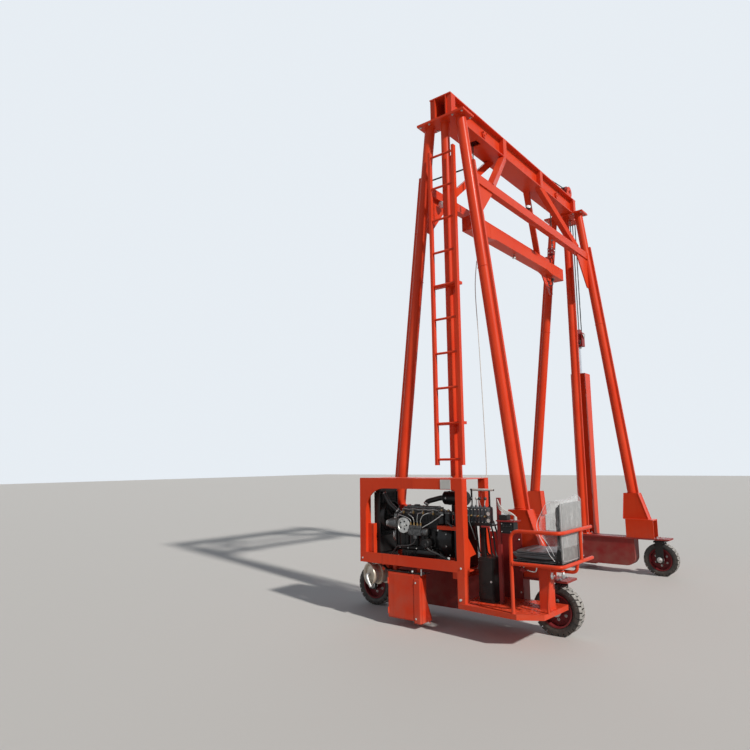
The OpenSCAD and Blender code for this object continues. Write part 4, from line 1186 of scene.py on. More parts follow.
def beam_details():
    """Bands on the end blocks, the lamp's cable with its clips, and the lug welds."""
    shape, cable = shapes(2)
    for side in (-1, 1):
        for reach in (1.345, 0.945):
            for x in (-1, 1):
                shape.weld((x * 0.0755, side * reach, 4.278), (x * 0.0755, side * reach, 4.442), 0.0035)
        shape.block((-0.07, side * 1.356 - 0.003, 4.282), (0.07, side * 1.356 + 0.003, 4.438), 0.001)
        shape.weld((-0.074, side * 1.3605, 4.276), (0.074, side * 1.3605, 4.276), 0.0045)
        shape.weld((-0.074, side * 1.3605, 4.444), (0.074, side * 1.3605, 4.444), 0.0045)
        for y in (1.118, 1.142):
            shape.weld((-0.03, side * y, 4.447), (0.03, side * y, 4.447), 0.005)
        for x in (-0.014, 0.014):
            shape.weld((x, side * 0.925, 4.273), (x, side * 1.075, 4.273), 0.005)
    shape.piece("beam_welds", orange_paint, "orange_paint", 50, body="lifting_beam")
    route = [(0.05, 1.3, 4.452), (0.05, 1.0, 4.452), (0.05, 0.9, 4.447), (0.05, 0.75, 4.428),
        (0.05, 0.2, 4.428), (0.05, -0.08, 4.427), (0.045, -0.125, 4.424), (0.04, -0.14, 4.412)]
    cable.hose(route, 8, 0.0055, 10)
    cable.piece("beam_cable", hose_rubber, "black_paint", body="lifting_beam")
    clips = Shape()
    for y in (1.24, 1.02, 0.7, 0.45, 0.2, -0.05):
        top = 4.445 if y > 0.95 else 4.42
        clips.tube([(0.05 + 0.0085 * cos(turn), y, top + 0.008 + 0.0085 * sin(turn))
            for turn in (radians(angle) for angle in range(-30, 211, 24))], 0.002, 6)
        clips.bolts([(0.064, y, top)], UP, 0.005)
    clips.piece("beam_cable_clips", zinc, "bare_steel", body="lifting_beam")


lamp("beam_lamp_bell", (0, -0.15, 4.252), (0, 0, -1), "lifting_beam", "beam_lamp", 0.72, zinc)
lamp("tie_lamp_bell", (0.293, -0.28, 4.836), (0.5, -0.6, 0.45), "frame", "tie_lamp")
lamp("dome_lamp", (-0.235, -1.545, 4.595), (-0.25, -0.8, -0.45), "frame", None, 1.25, zinc)
spacer_bar()
beam_details()

# %% [markdown]
# ## Mast
# A single cylinder stands in a channel at the far side and pushes the crosshead up. Oil
# comes to its foot through a hose, the rod leaves through a bolted gland, and straps hold
# the barrel in the channel.

# %% Cylinder, straps and pipes
MAST_Y = 2.041


def mast_details():
    """The gland on the barrel, straps, ports, pipe and the bolts of the channel."""
    steel, paint, pipes = shapes(3)
    gland = [(0.0, 0.063), (0.0, 0.072), (0.05, 0.072), (0.054, 0.068), (0.054, 0.058), (0.062, 0.05),
        (0.075, 0.045), (0.078, 0.0345)]
    paint.turned(gland, (0, MAST_Y, 2.8), UP, 40)
    for turn in turns(8):
        steel.bolts([(0.06 * cos(turn), MAST_Y + 0.06 * sin(turn), 2.854)], UP, 0.007)
    steel.turned([(0.0, 0.0335), (0.0, 0.041), (0.006, 0.041), (0.008, 0.036), (0.008, 0.0335)],
        (0, MAST_Y, 2.877), UP, 32)
    for height in (0.45, 1.25, 2.05, 2.7):
        paint.turned([(-0.025, 0.0625), (-0.025, 0.067), (0.025, 0.067), (0.025, 0.0625)],
            (0, MAST_Y, height), UP, 40)
        for out in (-1, 1):
            paint.block((out * 0.062, MAST_Y - 0.012, height - 0.025),
                (out * 0.098, MAST_Y + 0.002, height + 0.025))
            steel.bolts([(out * 0.082, MAST_Y + 0.002, height + up) for up in (-0.013, 0.013)], FAR, 0.007)
    steel.solid([(0, 0.018), (0.02, 0.018), (0.024, 0.014)], (0.03, MAST_Y + 0.052, 0.16), (0.3, 1, 0), 6)
    pipes.hose([(0.038, 2.112, 0.16), (0.045, 2.13, 0.19), (0.08, 2.134, 0.32), (0.086, 2.134, 0.6),
        (0.086, 2.134, 2.1), (0.084, 2.128, 2.6), (0.07, 2.1, 2.76), (0.052, 2.082, 2.79)], 8, 0.0075, 10)
    steel.turned([(0, 0), (0, 0.013), (0.018, 0.013), (0.02, 0)], (0.047, 2.077, 2.785), (0.7, 0.5, 0), 6)
    for height in (0.7, 1.5, 2.3):
        steel.block((0.072, 2.122, height - 0.01), (0.1, 2.1435, height + 0.01), 0.003)
        steel.bolts([(0.0965, 2.1435, height)], FAR, 0.005)
    for out in (-1, 1):
        for height in (0.3, 1.0, 1.8, 2.6):
            paint.weld((out * 0.1105, 1.935, height), (out * 0.1105, 1.935, height + 0.08), 0.004)
    paint.weld_round((0, MAST_Y, 0.082), UP, 0.066, 0.005)
    paint.piece("cylinder_gland", orange_paint, "orange_paint", 50)
    steel.piece("mast_fittings", zinc, "bare_steel")
    pipes.piece("mast_pipe", dark_red_paint, "dark_red_paint")


def crosshead_details():
    """Keepers on the crosshead's pin, the rod's nut and chromed end."""
    shape = Shape()
    for out in (-1, 1):
        shape.solid([(0, 0.03), (0.008, 0.03), (0.011, 0.026)], (out * 0.0905, MAST_Y, 3.52), (out, 0, 0),
            28)
        shape.block((out * 0.088, MAST_Y - 0.045, 3.535), (out * 0.094, MAST_Y + 0.045, 3.556))
        shape.bolts([(out * 0.094, MAST_Y + across, 3.5455) for across in (-0.034, 0.034)], (out, 0, 0),
            0.007)
    shape.turned([(0, 0.0335), (0, 0.046), (0.022, 0.046), (0.025, 0.043), (0.025, 0.0335)],
        (0, MAST_Y, 3.33), UP, 6)
    shape.piece("crosshead_pins", zinc, "dark_red_paint", body="lift_rod")


mast_details()
crosshead_details()

# %% [markdown]
# ## Engine bay
# In the CAD the engine is one plain mass for the simulation. Here it is built up from the
# castings and auxiliaries that a small water-cooled diesel has: a ribbed crankcase with its
# sump, a bell housing, a rocker cover, pulleys with their belt, an injection pump with steel
# pipes to the injectors, an alternator, filters, manifolds and an air cleaner.

# %% Engine castings
ENGINE_Y = -2.185
CRANK_Z = 0.837
CYLINDERS = [-0.335, -0.215, -0.095, 0.025]


def ribs(shape, low, high, axis, count, thick):
    """Thin parallel ribs that fill a box along one axis."""
    low, high = Vector(low), Vector(high)
    for index in range(count):
        start, end = low.copy(), high.copy()
        middle = low[axis] + (high[axis] - low[axis]) * (index + 0.5) / count
        start[axis], end[axis] = middle - thick / 2, middle + thick / 2
        shape.block(start, end, min(0.002, thick * 0.3))


def engine_castings():
    """Crankcase, sump, timing case, bell housing and cylinder head."""
    shape = Shape()
    shape.block((-0.405, -2.295, 0.745), (0.105, -2.075, 1.0), 0.012, 2)
    shape.block((-0.415, -2.312, 0.905), (0.115, -2.058, 0.935), 0.004)
    shape.block((-0.418, -2.313, 0.738), (0.118, -2.057, 0.752), 0.003)
    for x in CYLINDERS:
        shape.turned([(0.0, 0.052), (0.15, 0.052)], (x, -2.262, 0.76), UP, 28)
        shape.turned([(0.0, 0.02), (0.008, 0.02), (0.011, 0.016), (0.011, 0)], (x + 0.06, -2.3, 0.842),
            NEAR, 20)
    ribs(shape, (-0.4, -2.309, 0.752), (0.1, -2.285, 0.905), 0, 9, 0.007)
    shape.block((-0.335, -2.335, 0.59), (0.045, -2.045, 0.735), 0.022, 3)
    ribs(shape, (-0.3, -2.341, 0.604), (0.01, -2.33, 0.7), 0, 10, 0.008)
    shape.block((-0.355, -2.34, 0.728), (0.065, -2.04, 0.742), 0.003)
    shape.block((-0.438, -2.29, 0.69), (-0.404, -2.08, 0.985), 0.014, 2)
    shape.turned([(0.0, 0.172), (0.03, 0.181), (0.095, 0.181), (0.1, 0.178), (0.141, 0.15), (0.141, 0.06),
        (0.141, 0.0)], (0.118, ENGINE_Y, CRANK_Z), REAR, 48)
    for turn in turns(12):
        away = Vector((0, cos(turn), sin(turn)))
        shape.bar(Vector((0.125, ENGINE_Y, CRANK_Z)) + away * 0.176,
            Vector((0.245, ENGINE_Y, CRANK_Z)) + away * 0.148, 0.008, 0.016, (0, -away.z, away.y))
    shape.block((-0.398, -2.278, 0.998), (0.098, -2.092, 1.062), 0.006, 2)
    ribs(shape, (-0.395, -2.284, 1.004), (0.095, -2.276, 1.056), 0, 12, 0.008)
    for x in (-0.3, 0.0):
        shape.block((x - 0.035, -2.345, 0.585), (x + 0.035, -2.3, 0.6), 0.003)
        shape.block((x - 0.03, -2.345, 0.582), (x + 0.03, -2.325, 0.64), 0.006)
    made = shape.piece("engine_castings", black_paint, "black_paint")
    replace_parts(made, "engine_block")


def rocker_cover():
    """A ribbed cast cover with domed nuts and a filler cap."""
    shape, bright = shapes(2)
    shape.block((-0.385, -2.262, 1.06), (0.085, -2.108, 1.074), 0.003)
    shape.block((-0.378, -2.255, 1.07), (0.078, -2.115, 1.128), 0.02, 3)
    ribs(shape, (-0.33, -2.24, 1.124), (0.03, -2.13, 1.136), 1, 5, 0.008)
    for x in (-0.34, -0.15, 0.04):
        bright.turned([(0, 0), (0, 0.013), (0.008, 0.013), (0.014, 0.008), (0.016, 0)],
            (x, ENGINE_Y, 1.128), UP, 12)
    shape.turned([(0, 0.024), (0.008, 0.03), (0.02, 0.03), (0.024, 0.024), (0.024, 0)],
        (-0.245, -2.16, 1.124), UP, 28)
    for turn in turns(8):
        shape.block((-0.245 + 0.029 * cos(turn) - 0.003, -2.16 + 0.029 * sin(turn) - 0.003, 1.134),
            (-0.245 + 0.029 * cos(turn) + 0.003, -2.16 + 0.029 * sin(turn) + 0.003, 1.143), 0.001)
    bright.bolts([(x, y, 1.074) for x in (-0.375, -0.26, -0.05, 0.075) for y in (-2.2585, -2.1115)], UP,
        0.005)
    bright.bolts([(x, -2.3125, 0.92) for x in (-0.4, -0.275, -0.155, -0.035, 0.1)], NEAR, 0.008)
    bright.bolts([(x, -2.3405, 0.735) for x in (-0.34, -0.24, -0.14, -0.04, 0.05)], NEAR, 0.005)
    for turn in turns(10, 0.5):
        bright.bolts([(0.216, ENGINE_Y + 0.1795 * cos(turn), CRANK_Z + 0.1795 * sin(turn))], REAR, 0.008)
    bright.bolts([(-0.438, ENGINE_Y + y, z) for y in (-0.09, 0.09) for z in (0.71, 0.8, 0.9, 0.965)], FRONT,
        0.007)
    bright.bolts([(-0.15, -2.3385, 0.625)], NEAR, 0.011)
    shape.piece("rocker_cover", cast_aluminium, "black_paint")
    bright.piece("engine_bolts", zinc, "black_paint")


engine_castings()
rocker_cover()


# %% Pulleys, fan and belt
def pulley(shape, centre, towards, radius, width, hub):
    """A vee-belt pulley with a hub and a hollow face."""
    half = width / 2
    shape.turned([(-half, hub), (-half, radius), (-half * 0.45, radius), (0, radius * 0.84),
        (half * 0.45, radius), (half, radius), (half, radius * 0.8), (half * 0.3, radius * 0.74),
        (half * 0.3, hub * 1.3), (half * 1.4, hub * 1.2), (half * 1.5, hub), (half * 1.5, 0)], centre,
        towards, 44)


def belt_loop(shape, centres, width):
    """A flat belt round pulleys in one plane, along the outer tangents of their circles."""
    points = []
    count = len(centres)
    for index, (centre, radius) in enumerate(centres):
        before, before_r = centres[index - 1]
        after, after_r = centres[(index + 1) % count]
        angles = []
        for (first, first_r), (second, second_r) in (((before, before_r), (centre, radius)),
                ((centre, radius), (after, after_r))):
            gap = Vector((second[0] - first[0], second[1] - first[1]))
            tilt = asin((first_r - second_r) / gap.length)
            angles.append(atan2(gap.y, gap.x) - pi / 2 + tilt)
        start, end = angles
        while end < start:
            end += tau
        for step in range(9):
            turn = start + (end - start) * step / 8
            points.append((centre[0] + radius * cos(turn), centre[1] + radius * sin(turn)))
    shape.tube([(-0.4655, y, z) for y, z in points], width, 6, closed=True)


def engine_drive():
    """The crank, fan and alternator pulleys with their belt, the fan and the pump's pulley."""
    steel, rubber_parts, black = shapes(3)
    fan_z = 1.02
    pulley(steel, (-0.4655, ENGINE_Y, CRANK_Z), (-1, 0, 0), 0.085, 0.022, 0.022)
    pulley(steel, (-0.4655, ENGINE_Y, fan_z), (-1, 0, 0), 0.06, 0.022, 0.018)
    pulley(steel, (-0.4655, -2.35, 0.965), (-1, 0, 0), 0.036, 0.022, 0.012)
    belt_loop(rubber_parts, [((ENGINE_Y, CRANK_Z), 0.083), ((ENGINE_Y, fan_z), 0.058),
        ((-2.35, 0.965), 0.034)][::-1], 0.0055)
    steel.rod((-0.47, ENGINE_Y, CRANK_Z), (-0.43, ENGINE_Y, CRANK_Z), 0.02)
    steel.rod((-0.53, ENGINE_Y, fan_z), (-0.43, ENGINE_Y, fan_z), 0.016)
    for turn in turns(7):
        away = Vector((0, cos(turn), sin(turn)))
        centre = Vector((-0.515, ENGINE_Y, fan_z))
        black.bar(centre + away * 0.035, centre + away * 0.138, 0.052, 0.003,
            Vector((0.55, -away.z * 0.83, away.y * 0.83)), 0.001)
    black.turned([(-0.008, 0.0), (-0.008, 0.04), (0.008, 0.042), (0.01, 0)], (-0.515, ENGINE_Y, fan_z),
        FRONT, 28)
    side = (-0.285, -2.35, 0.952)
    steel.turned([(-0.01, 0.06), (-0.01, 0.074), (-0.005, 0.074), (0.0, 0.066), (0.005, 0.074),
        (0.01, 0.074), (0.01, 0.06), (0.004, 0.056), (0.004, 0.022), (0.014, 0.02), (0.016, 0)], side, NEAR,
        44)
    for turn in turns(5):
        black.turned([(0, 0.009), (0.0012, 0.009), (0.0012, 0.0)], (side[0] + 0.039 * cos(turn),
            side[1] - 0.0035, side[2] + 0.039 * sin(turn)), NEAR, 16)
    black.rod((side[0], -2.345, side[2]), (side[0], -2.29, side[2]), 0.045, 28)
    steel.piece("engine_pulleys", zinc, "black_paint")
    rubber_parts.piece("engine_belt", hose_rubber, "black_paint")
    black.piece("engine_fan", black_paint, "black_paint")


engine_drive()


# %% Pump, injectors, filters and manifolds
def auxiliaries():
    """Everything bolted to the engine's sides."""
    alloy, steel, black, gold = shapes(4)
    alloy.block((-0.225, -2.372, 0.862), (-0.055, -2.312, 0.93), 0.01, 2)
    alloy.block((-0.215, -2.366, 0.926), (-0.065, -2.322, 0.958), 0.006)
    alloy.turned([(0, 0.034), (0.012, 0.034), (0.02, 0.04), (0.06, 0.04), (0.066, 0.03), (0.07, 0.0)],
        (-0.055, -2.342, 0.896), REAR, 28)
    alloy.turned([(0, 0.028), (0.03, 0.028), (0.034, 0.024), (0.034, 0)], (-0.14, -2.345, 0.862), DOWN, 24)
    for index, x in enumerate(CYLINDERS):
        pump = (-0.2 + 0.04 * index, -2.345, 0.958)
        gold.turned([(0, 0.0085), (0.016, 0.0085), (0.018, 0.006), (0.026, 0.006)], pump, UP, 6)
        steel.hose([(pump[0], pump[1], 0.98), (pump[0], pump[1] - 0.004, 1.005),
            (pump[0] + (x - pump[0]) * 0.3, -2.352, 1.03 + 0.008 * index),
            (x - 0.02, -2.335, 1.055 + 0.008 * index), (x, -2.3, 1.08), (x, -2.276, 1.092)], 7, 0.0034, 8)
        gold.turned([(0, 0.011), (0.026, 0.011), (0.03, 0.008), (0.04, 0.008)], (x, -2.272, 1.062),
            (0, -0.25, 1), 6)
        steel.turned([(0, 0.009), (0.018, 0.009), (0.02, 0.006)], (x, -2.276, 1.088), (0, -1, 0.2), 6)
    steel.hose([(x, -2.268, 1.104 + 0.006 * (index % 2)) for index, x in enumerate([-0.36, -0.335, -0.275,
        -0.215, -0.155, -0.095, -0.035, 0.025, 0.07])], 5, 0.0025, 8)
    for x, height, radius in ((0.15, 1.02, 0.036), (0.225, 1.02, 0.036)):
        black.turned([(0, 0), (0.0, 0.02), (0.012, radius), (0.1, radius), (0.106, radius - 0.004),
            (0.112, radius - 0.01)], (x, -2.315, height - 0.045), UP, 32)
        alloy.turned([(0, radius + 0.003), (0.018, radius + 0.003), (0.026, 0.022), (0.03, 0)],
            (x, -2.315, height + 0.062), UP, 32)
        gold.turned([(0, 0.01), (0.012, 0.01), (0.014, 0)], (x, -2.315, height + 0.09), UP, 6)
    alloy.block((0.115, -2.29, 1.068), (0.262, -2.262, 1.098), 0.004)
    steel.hose([(0.185, -2.352, 1.075), (0.187, -2.366, 1.08), (0.15, -2.37, 1.05), (0.05, -2.372, 0.99),
        (-0.02, -2.372, 0.955), (-0.045, -2.368, 0.94)], 7, 0.0045, 8)
    steel.turned([(0, 0.009), (0.014, 0.009), (0.016, 0)], (0.187, -2.35, 1.075), NEAR, 6)
    black.solid([(0, 0.04), (0.1, 0.042), (0.108, 0.036)], (0.02, -2.318, 0.8), (-0.02, -1, 0), 32)
    alloy.turned([(0, 0), (0.0, 0.048), (0.016, 0.052), (0.078, 0.052), (0.094, 0.046), (0.096, 0)],
        (-0.445, -2.35, 0.965), REAR, 36)
    for turn in turns(14):
        black.block((-0.352, -2.35 + 0.036 * cos(turn) - 0.003, 0.965 + 0.036 * sin(turn) - 0.003),
            (-0.3475, -2.35 + 0.036 * cos(turn) + 0.003, 0.965 + 0.036 * sin(turn) + 0.003), 0.001)
    steel.bar((-0.4, -2.352, 1.018), (-0.36, -2.28, 1.055), 0.018, 0.005, REAR)
    black.rod((0.128, -2.285, 0.9), (-0.03, -2.3, 0.985), 0.001)
    black.rod((0.115, -2.345, 0.7), (-0.105, -2.345, 0.7), 0.036, 28)
    black.rod((0.06, -2.36, 0.758), (-0.04, -2.36, 0.758), 0.018, 20)
    gold.bolts([(-0.106, -2.345, 0.7)], FRONT, 0.009)
    for x in CYLINDERS:
        black.hose([(x, -2.092, 1.03), (x, -2.062, 1.032), (x, -2.045, 1.045), (x - 0.004, -2.038, 1.06)],
            5, 0.022, 14)
    black.tube([(-0.36, -2.036, 1.066), (0.06, -2.036, 1.066)], 0.027, 18)
    black.hose([(-0.36, -2.036, 1.066), (-0.42, -2.03, 1.062), (-0.475, -1.985, 1.02),
        (-0.49, -1.962, 0.93)], 6, 0.024, 16)
    alloy.piece("engine_alloy", cast_aluminium, "black_paint")
    steel.piece("injector_pipes", zinc, "black_paint")
    black.piece("engine_auxiliaries", black_paint, "black_paint")
    gold.piece("engine_unions", brass, "black_paint")


auxiliaries()


# %% Air cleaner and hoses
def air_and_hoses():
    """The air cleaner over the engine's rear, and the water and oil hoses."""
    can, hoses, bands = shapes(3)
    can.turned([(0, 0), (0, 0.06), (0.006, 0.067), (0.05, 0.068), (0.054, 0.071), (0.06, 0.071),
        (0.064, 0.068), (0.25, 0.068), (0.262, 0.058), (0.266, 0)], (0.03, -2.06, 1.215), REAR, 40)
    can.bar((0.12, -2.06, 1.07), (0.12, -2.06, 1.16), 0.03, 0.006, REAR)
    hoses.hose([(0.035, -2.06, 1.215), (-0.02, -2.062, 1.212), (-0.09, -2.075, 1.195), (-0.15, -2.1, 1.175),
        (-0.17, -2.12, 1.145)], 7, 0.026, 16)
    hoses.hose([(-0.4, -2.2, 1.045), (-0.45, -2.22, 1.075), (-0.52, -2.26, 1.15), (-0.57, -2.28, 1.24),
        (-0.592, -2.28, 1.27)], 7, 0.021, 14)
    hoses.hose([(-0.41, -2.12, 0.79), (-0.46, -2.1, 0.76), (-0.52, -2.09, 0.7), (-0.59, -2.09, 0.66)], 7,
        0.021, 14)
    hoses.hose([(0.225, -2.352, 1.02), (0.26, -2.375, 1.0), (0.33, -2.36, 0.93), (0.335, -2.33, 0.86),
        (0.335, -2.3, 0.8)], 7, 0.009, 12)
    hoses.hose([(0.02, -2.426, 0.8), (0.05, -2.4, 0.74), (0.16, -2.38, 0.7), (0.24, -2.37, 0.66),
        (0.335, -2.345, 0.63)], 7, 0.01, 12)
    hoses.hose([(-0.14, -2.345, 0.83), (-0.16, -2.35, 0.79), (-0.22, -2.356, 0.76), (-0.36, -2.35, 0.74),
        (-0.44, -2.34, 0.66), (-0.52, -2.33, 0.6)], 7, 0.008, 12)
    for centre, towards, radius in (((-0.455, -2.223, 1.08), (-0.6, -0.3, 0.7), 0.0225),
            ((-0.578, -2.28, 1.256), (-0.6, 0, 0.8), 0.0225), ((-0.435, -2.11, 0.776), (-0.8, 0.3, -0.5),
            0.0225), ((0.015, -2.06, 1.214), (1, 0, 0), 0.0275), ((-0.165, -2.115, 1.155),
            (-0.3, -0.4, -0.8), 0.0275)):
        bands.turned([(-0.006, radius - 0.001), (-0.006, radius), (0.006, radius), (0.006, radius - 0.001)],
            centre, towards, 28)
    bands.bolts([(0.08, -2.128, 1.215)], NEAR, 0.008)
    can.piece("air_cleaner", black_paint, "black_paint")
    hoses.piece("engine_hoses", hose_rubber, "black_paint")
    bands.piece("hose_bands", zinc, "bare_steel")


air_and_hoses()


# %% Radiator and tank
def radiator():
    """Tanks, tubes and fins, with a pressed shroud and a filler cap."""
    tanks, fins, bright = shapes(3)
    for low, high in ((0.584, 0.668), (1.262, 1.35)):
        tanks.block((-0.666, -2.343, low), (-0.59, -2.027, high), 0.014, 3)
    for y in (-2.343, -2.039):
        tanks.block((-0.666, y, 0.66), (-0.59, y + 0.012, 1.27), 0.003)
    ribs(fins, (-0.658, -2.331, 0.668), (-0.598, -2.039, 1.262), 2, 74, 0.0016)
    for index in range(14):
        y = -2.322 + index * 0.0205
        fins.block((-0.65, y, 0.668), (-0.606, y + 0.003, 1.262), 0)
    tanks.turned([(0, 0.15), (0.0, 0.158), (0.045, 0.152), (0.045, 0.146)], (-0.59, ENGINE_Y, 1.02), REAR,
        44)
    tanks.slab([(y, z) for y, z in ((-2.343, 0.668), (-2.027, 0.668), (-2.027, 0.83), (-2.343, 0.83))],
        (-0.589, 0, 0), REAR, 0.003)
    bright.turned([(0, 0.018), (0.012, 0.018), (0.012, 0.027), (0.02, 0.027), (0.024, 0.02), (0.024, 0)],
        (-0.628, -2.1, 1.349), UP, 28)
    made = tanks.piece("radiator_tanks", black_paint, "black_paint")
    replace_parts(made, "radiator")
    fins.piece("radiator_core", cast_aluminium, "black_paint")
    bright.piece("radiator_cap", brass, "bare_steel")


def tank_fittings():
    """A filler, straps, a drain and a sight tube on the fluid tank."""
    shape, strap = shapes(2)
    shape.turned([(0, 0.03), (0.014, 0.03), (0.014, 0.036), (0.032, 0.036), (0.036, 0.03), (0.036, 0)],
        (0.335, -2.2, 1.081), UP, 32)
    shape.solid([(0, 0.016), (0.01, 0.016), (0.018, 0.012)], (0.335, -2.335, 0.632), NEAR, 6)
    for y in (-2.3, -2.07):
        strap.block((0.294, y - 0.016, 0.584), (0.2968, y + 0.016, 1.0835), 0.0008)
        strap.block((0.294, y - 0.016, 1.0822), (0.376, y + 0.016, 1.085), 0.0008)
        strap.bolts([(0.335, y, 1.085)], UP, 0.007)
    shape.hose([(0.352, -2.338, 0.7), (0.352, -2.352, 0.71), (0.352, -2.352, 0.98), (0.352, -2.338, 0.99)],
        5, 0.005, 10)
    shape.piece("tank_fittings", zinc, "bare_steel")
    strap.piece("tank_straps", black_paint, "black_paint")


radiator()
tank_fittings()

# %% [markdown]
# The bay's own frame keeps its CAD sheet, and gets the blank grey plate, the small red shelf
# inside the window, welds, bolts and the dark hanging bracket over the box, whose black is a
# painted shade of the recess there.

# %% Bay frame details
def bay_details():
    """Welds, the blank plate, the shelf and the bolts of the bay."""
    paint, red, grey, bright = shapes(4)
    front = -2.4405
    grey.block((0.219, front - 0.004, 1.32), (0.334, front + 0.001, 1.408), 0.002)
    bright.bolts([(x, front - 0.004, z) for x in (0.228, 0.325) for z in (1.329, 1.399)], NEAR, 0.0035)
    red.block((0.13, -2.375, 0.95), (0.378, -2.255, 0.972), 0.004)
    red.block((0.13, -2.378, 0.935), (0.378, -2.372, 0.972), 0.002)
    red.bar((0.3, -2.3, 0.95), (0.372, -2.3, 0.84), 0.03, 0.006, FAR)
    paint.weld((-0.776, -2.436, 1.4165), (0.452, -2.436, 1.4165), 0.0035)
    for x in (-0.7785, 0.4545):
        paint.weld((x, -2.428, 0.575), (x, -2.428, 1.412), 0.004)
    for x, y in ((-0.704, -2.402), (-0.628, -2.402)):
        paint.weld((x, y, 0.584), (x, y, 0.95), 0.0035)
    stitches(paint, (-0.7, -2.352, 1.325), (0.37, -2.352, 1.325), 0.05, 0.1)
    paint.weld((0.4555, -2.436, 0.54), (0.4555, -2.436, 0.975), 0.005)
    for x in (-0.72, -0.4, 0.05, 0.4):
        bright.bolts([(x, -1.96, 1.415)], UP, 0.009)
    bright.bolts([(x, front, 0.61) for x in (-0.745, 0.42)], NEAR, 0.008)
    paint.piece("bay_welds", orange_paint, "orange_paint", 50)
    red.piece("bay_shelf", orange_paint, "orange_paint")
    grey.piece("blank_plate", grey_paint_and_highlight, "bare_steel")
    bright.piece("bay_bolts", zinc, "bare_steel")


def hanging_box_details():
    """The box's folded door, the column at its corner with its fin, and a black hanger plate over it whose
    black is a painted shade of the recess above the box.
    """
    paint, bright, dark = shapes(3)
    front = -2.4405
    paint.block((-0.412, front - 0.006, 0.086), (-0.112, front + 0.002, 0.496), 0.004)
    paint.block((-0.1075, front - 0.009, 0.059), (-0.034, front + 0.002, 0.468), 0.005)
    bright.bolts([(-0.084, front - 0.009, z) for z in (0.1, 0.43)], NEAR, 0.0075)
    for z in (0.14, 0.42):
        paint.rod((-0.4145, front - 0.006, z - 0.03), (-0.4145, front - 0.006, z + 0.03), 0.007)
    for y in (-2.418, -2.366):
        paint.block((-0.035, y - 0.004, 0.062), (-0.028, y + 0.004, 0.464), 0.002)
    # Black plate, bar and bolts over the box: their black is a painted shade of the recess above the box.
    dark.block((-0.47, -2.436, 0.512), (0.01, -2.33, 0.518), 0.002)
    dark.bar((-0.51, -2.39, 0.552), (-0.455, -2.39, 0.516), 0.06, 0.008, FAR)
    for x in (-0.4, -0.29, -0.18, -0.06):
        dark.bolts([(x, -2.425, 0.518)], UP, 0.008)
    bright.bolts([(-0.125, -2.4365, 0.53)], NEAR, 0.01)
    bright.block((-0.028, -2.44, 0.5), (-0.018, -2.425, 0.56), 0.002)
    for index in range(4):
        z = 0.225 - 0.045 * index
        paint.bar((-0.033, -2.3515, z), (-0.024 + 0.013 * index, -2.3515, z - 0.03), 0.004, 0.01, FAR)
    paint.weld((-0.033, -2.347, 0.062), (-0.033, -2.347, 0.268), 0.004)
    paint.weld((-0.1105, front - 0.002, 0.088), (-0.1105, front - 0.002, 0.466), 0.003)
    bright.solid([(0, 0.013), (0.018, 0.013), (0.022, 0.009)], (0.415, -2.4405, 0.335), NEAR, 20)
    paint.piece("box_door", orange_paint, "orange_paint")
    bright.piece("box_bolts", zinc, "bare_steel")
    dark.piece("box_recess_shade_plate", black_paint, "black_paint")


bay_details()
hanging_box_details()


# %% Silencer
def silencer():
    """A rolled silencer: a dished end, end rings, a seam, straps and the pipes in and out."""
    shape, straps = shapes(2)
    middle, turn = Vector((-0.669, -2.29, 0.442)), radians(20)
    along = Vector((sin(turn), cos(turn), 0))
    profile = [(0.016, 0.0), (0.014, 0.04), (0.018, 0.072), (0.03, 0.09), (0.01, 0.094), (0.0, 0.1),
        (0.0, 0.107), (0.006, 0.109), (0.022, 0.107), (0.026, 0.096), (0.036, 0.094), (0.1, 0.094),
        (0.104, 0.107), (0.122, 0.107), (0.126, 0.094), (0.19, 0.094), (0.194, 0.107), (0.214, 0.107),
        (0.219, 0.1), (0.206, 0.08), (0.212, 0.0)]
    shape.turned(profile, middle - along * 0.11, along, 56)
    shape.hose([middle + along * 0.1, middle + along * 0.15, (-0.6, -2.09, 0.5), (-0.61, -2.05, 0.56),
        (-0.62, -2.02, 0.6)], 7, 0.024, 18)
    mouth = middle - along * 0.096
    pipe = Shape()
    pipe.hose([mouth + Vector((-0.01, 0, 0.0)), mouth + Vector((-0.018, -0.02, -0.012)),
        mouth + Vector((-0.006, -0.03, -0.045)), mouth + Vector((0.022, -0.032, -0.095)),
        mouth + Vector((0.04, -0.032, -0.118))], 7, 0.015, 18)
    for reach in (-0.055, 0.045):
        place = middle + along * reach
        straps.turned([(-0.01, 0.0945), (-0.01, 0.0965), (0.01, 0.0965), (0.01, 0.0945)], place, along, 48)
        straps.block(place + Vector((-0.01, -0.01, 0.092)), place + Vector((0.01, 0.01, 0.128)), 0.002)
        straps.bolts([place + Vector((-0.01, 0, 0.108))], FRONT, 0.007)
    made = shape.piece("silencer_rolled", heated_sheet, "bare_steel")
    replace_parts(made, "silencer")
    pipe.piece("silencer_outlet", zinc, "bare_steel", 60)
    straps.piece("silencer_straps", zinc, "bare_steel")


silencer()

# %% [markdown]
# ## Operator's station
# The seat is real upholstery, so its cushion is blown up by a cloth simulation: a box of the
# cushion's size is remeshed finely, inflated a little, frozen, and then seams are added. The
# hard shell under it keeps its shape, and the clear film over the back is a crumpled sheet.

# %% A helper for inflated upholstery
SEAT_X = (0.888, 1.363)
SEAT_Y = (-2.388, -1.913)
SEAT_LINE = -2.1505
CUSHION_Z = (0.7, 0.81)
BACK_X = (1.293, 1.363)
BACK_Z = (0.81, 1.22)


def rounded_box(name, low, high, edge):
    """A box with generously rounded edges, as a separate object."""
    shape = Shape()
    shape.block(low, high, edge, 4)
    data = bpy.data.meshes.new(name)
    shape.mesh.to_mesh(data)
    shape.mesh.free()
    return add_object(name, data)


def bake_modifiers(made):
    """Replaces an object's mesh by what its modifiers make of it."""
    graph = bpy.context.evaluated_depsgraph_get()
    baked = bpy.data.meshes.new_from_object(made.evaluated_get(graph))
    made.modifiers.clear()
    made.data = baked


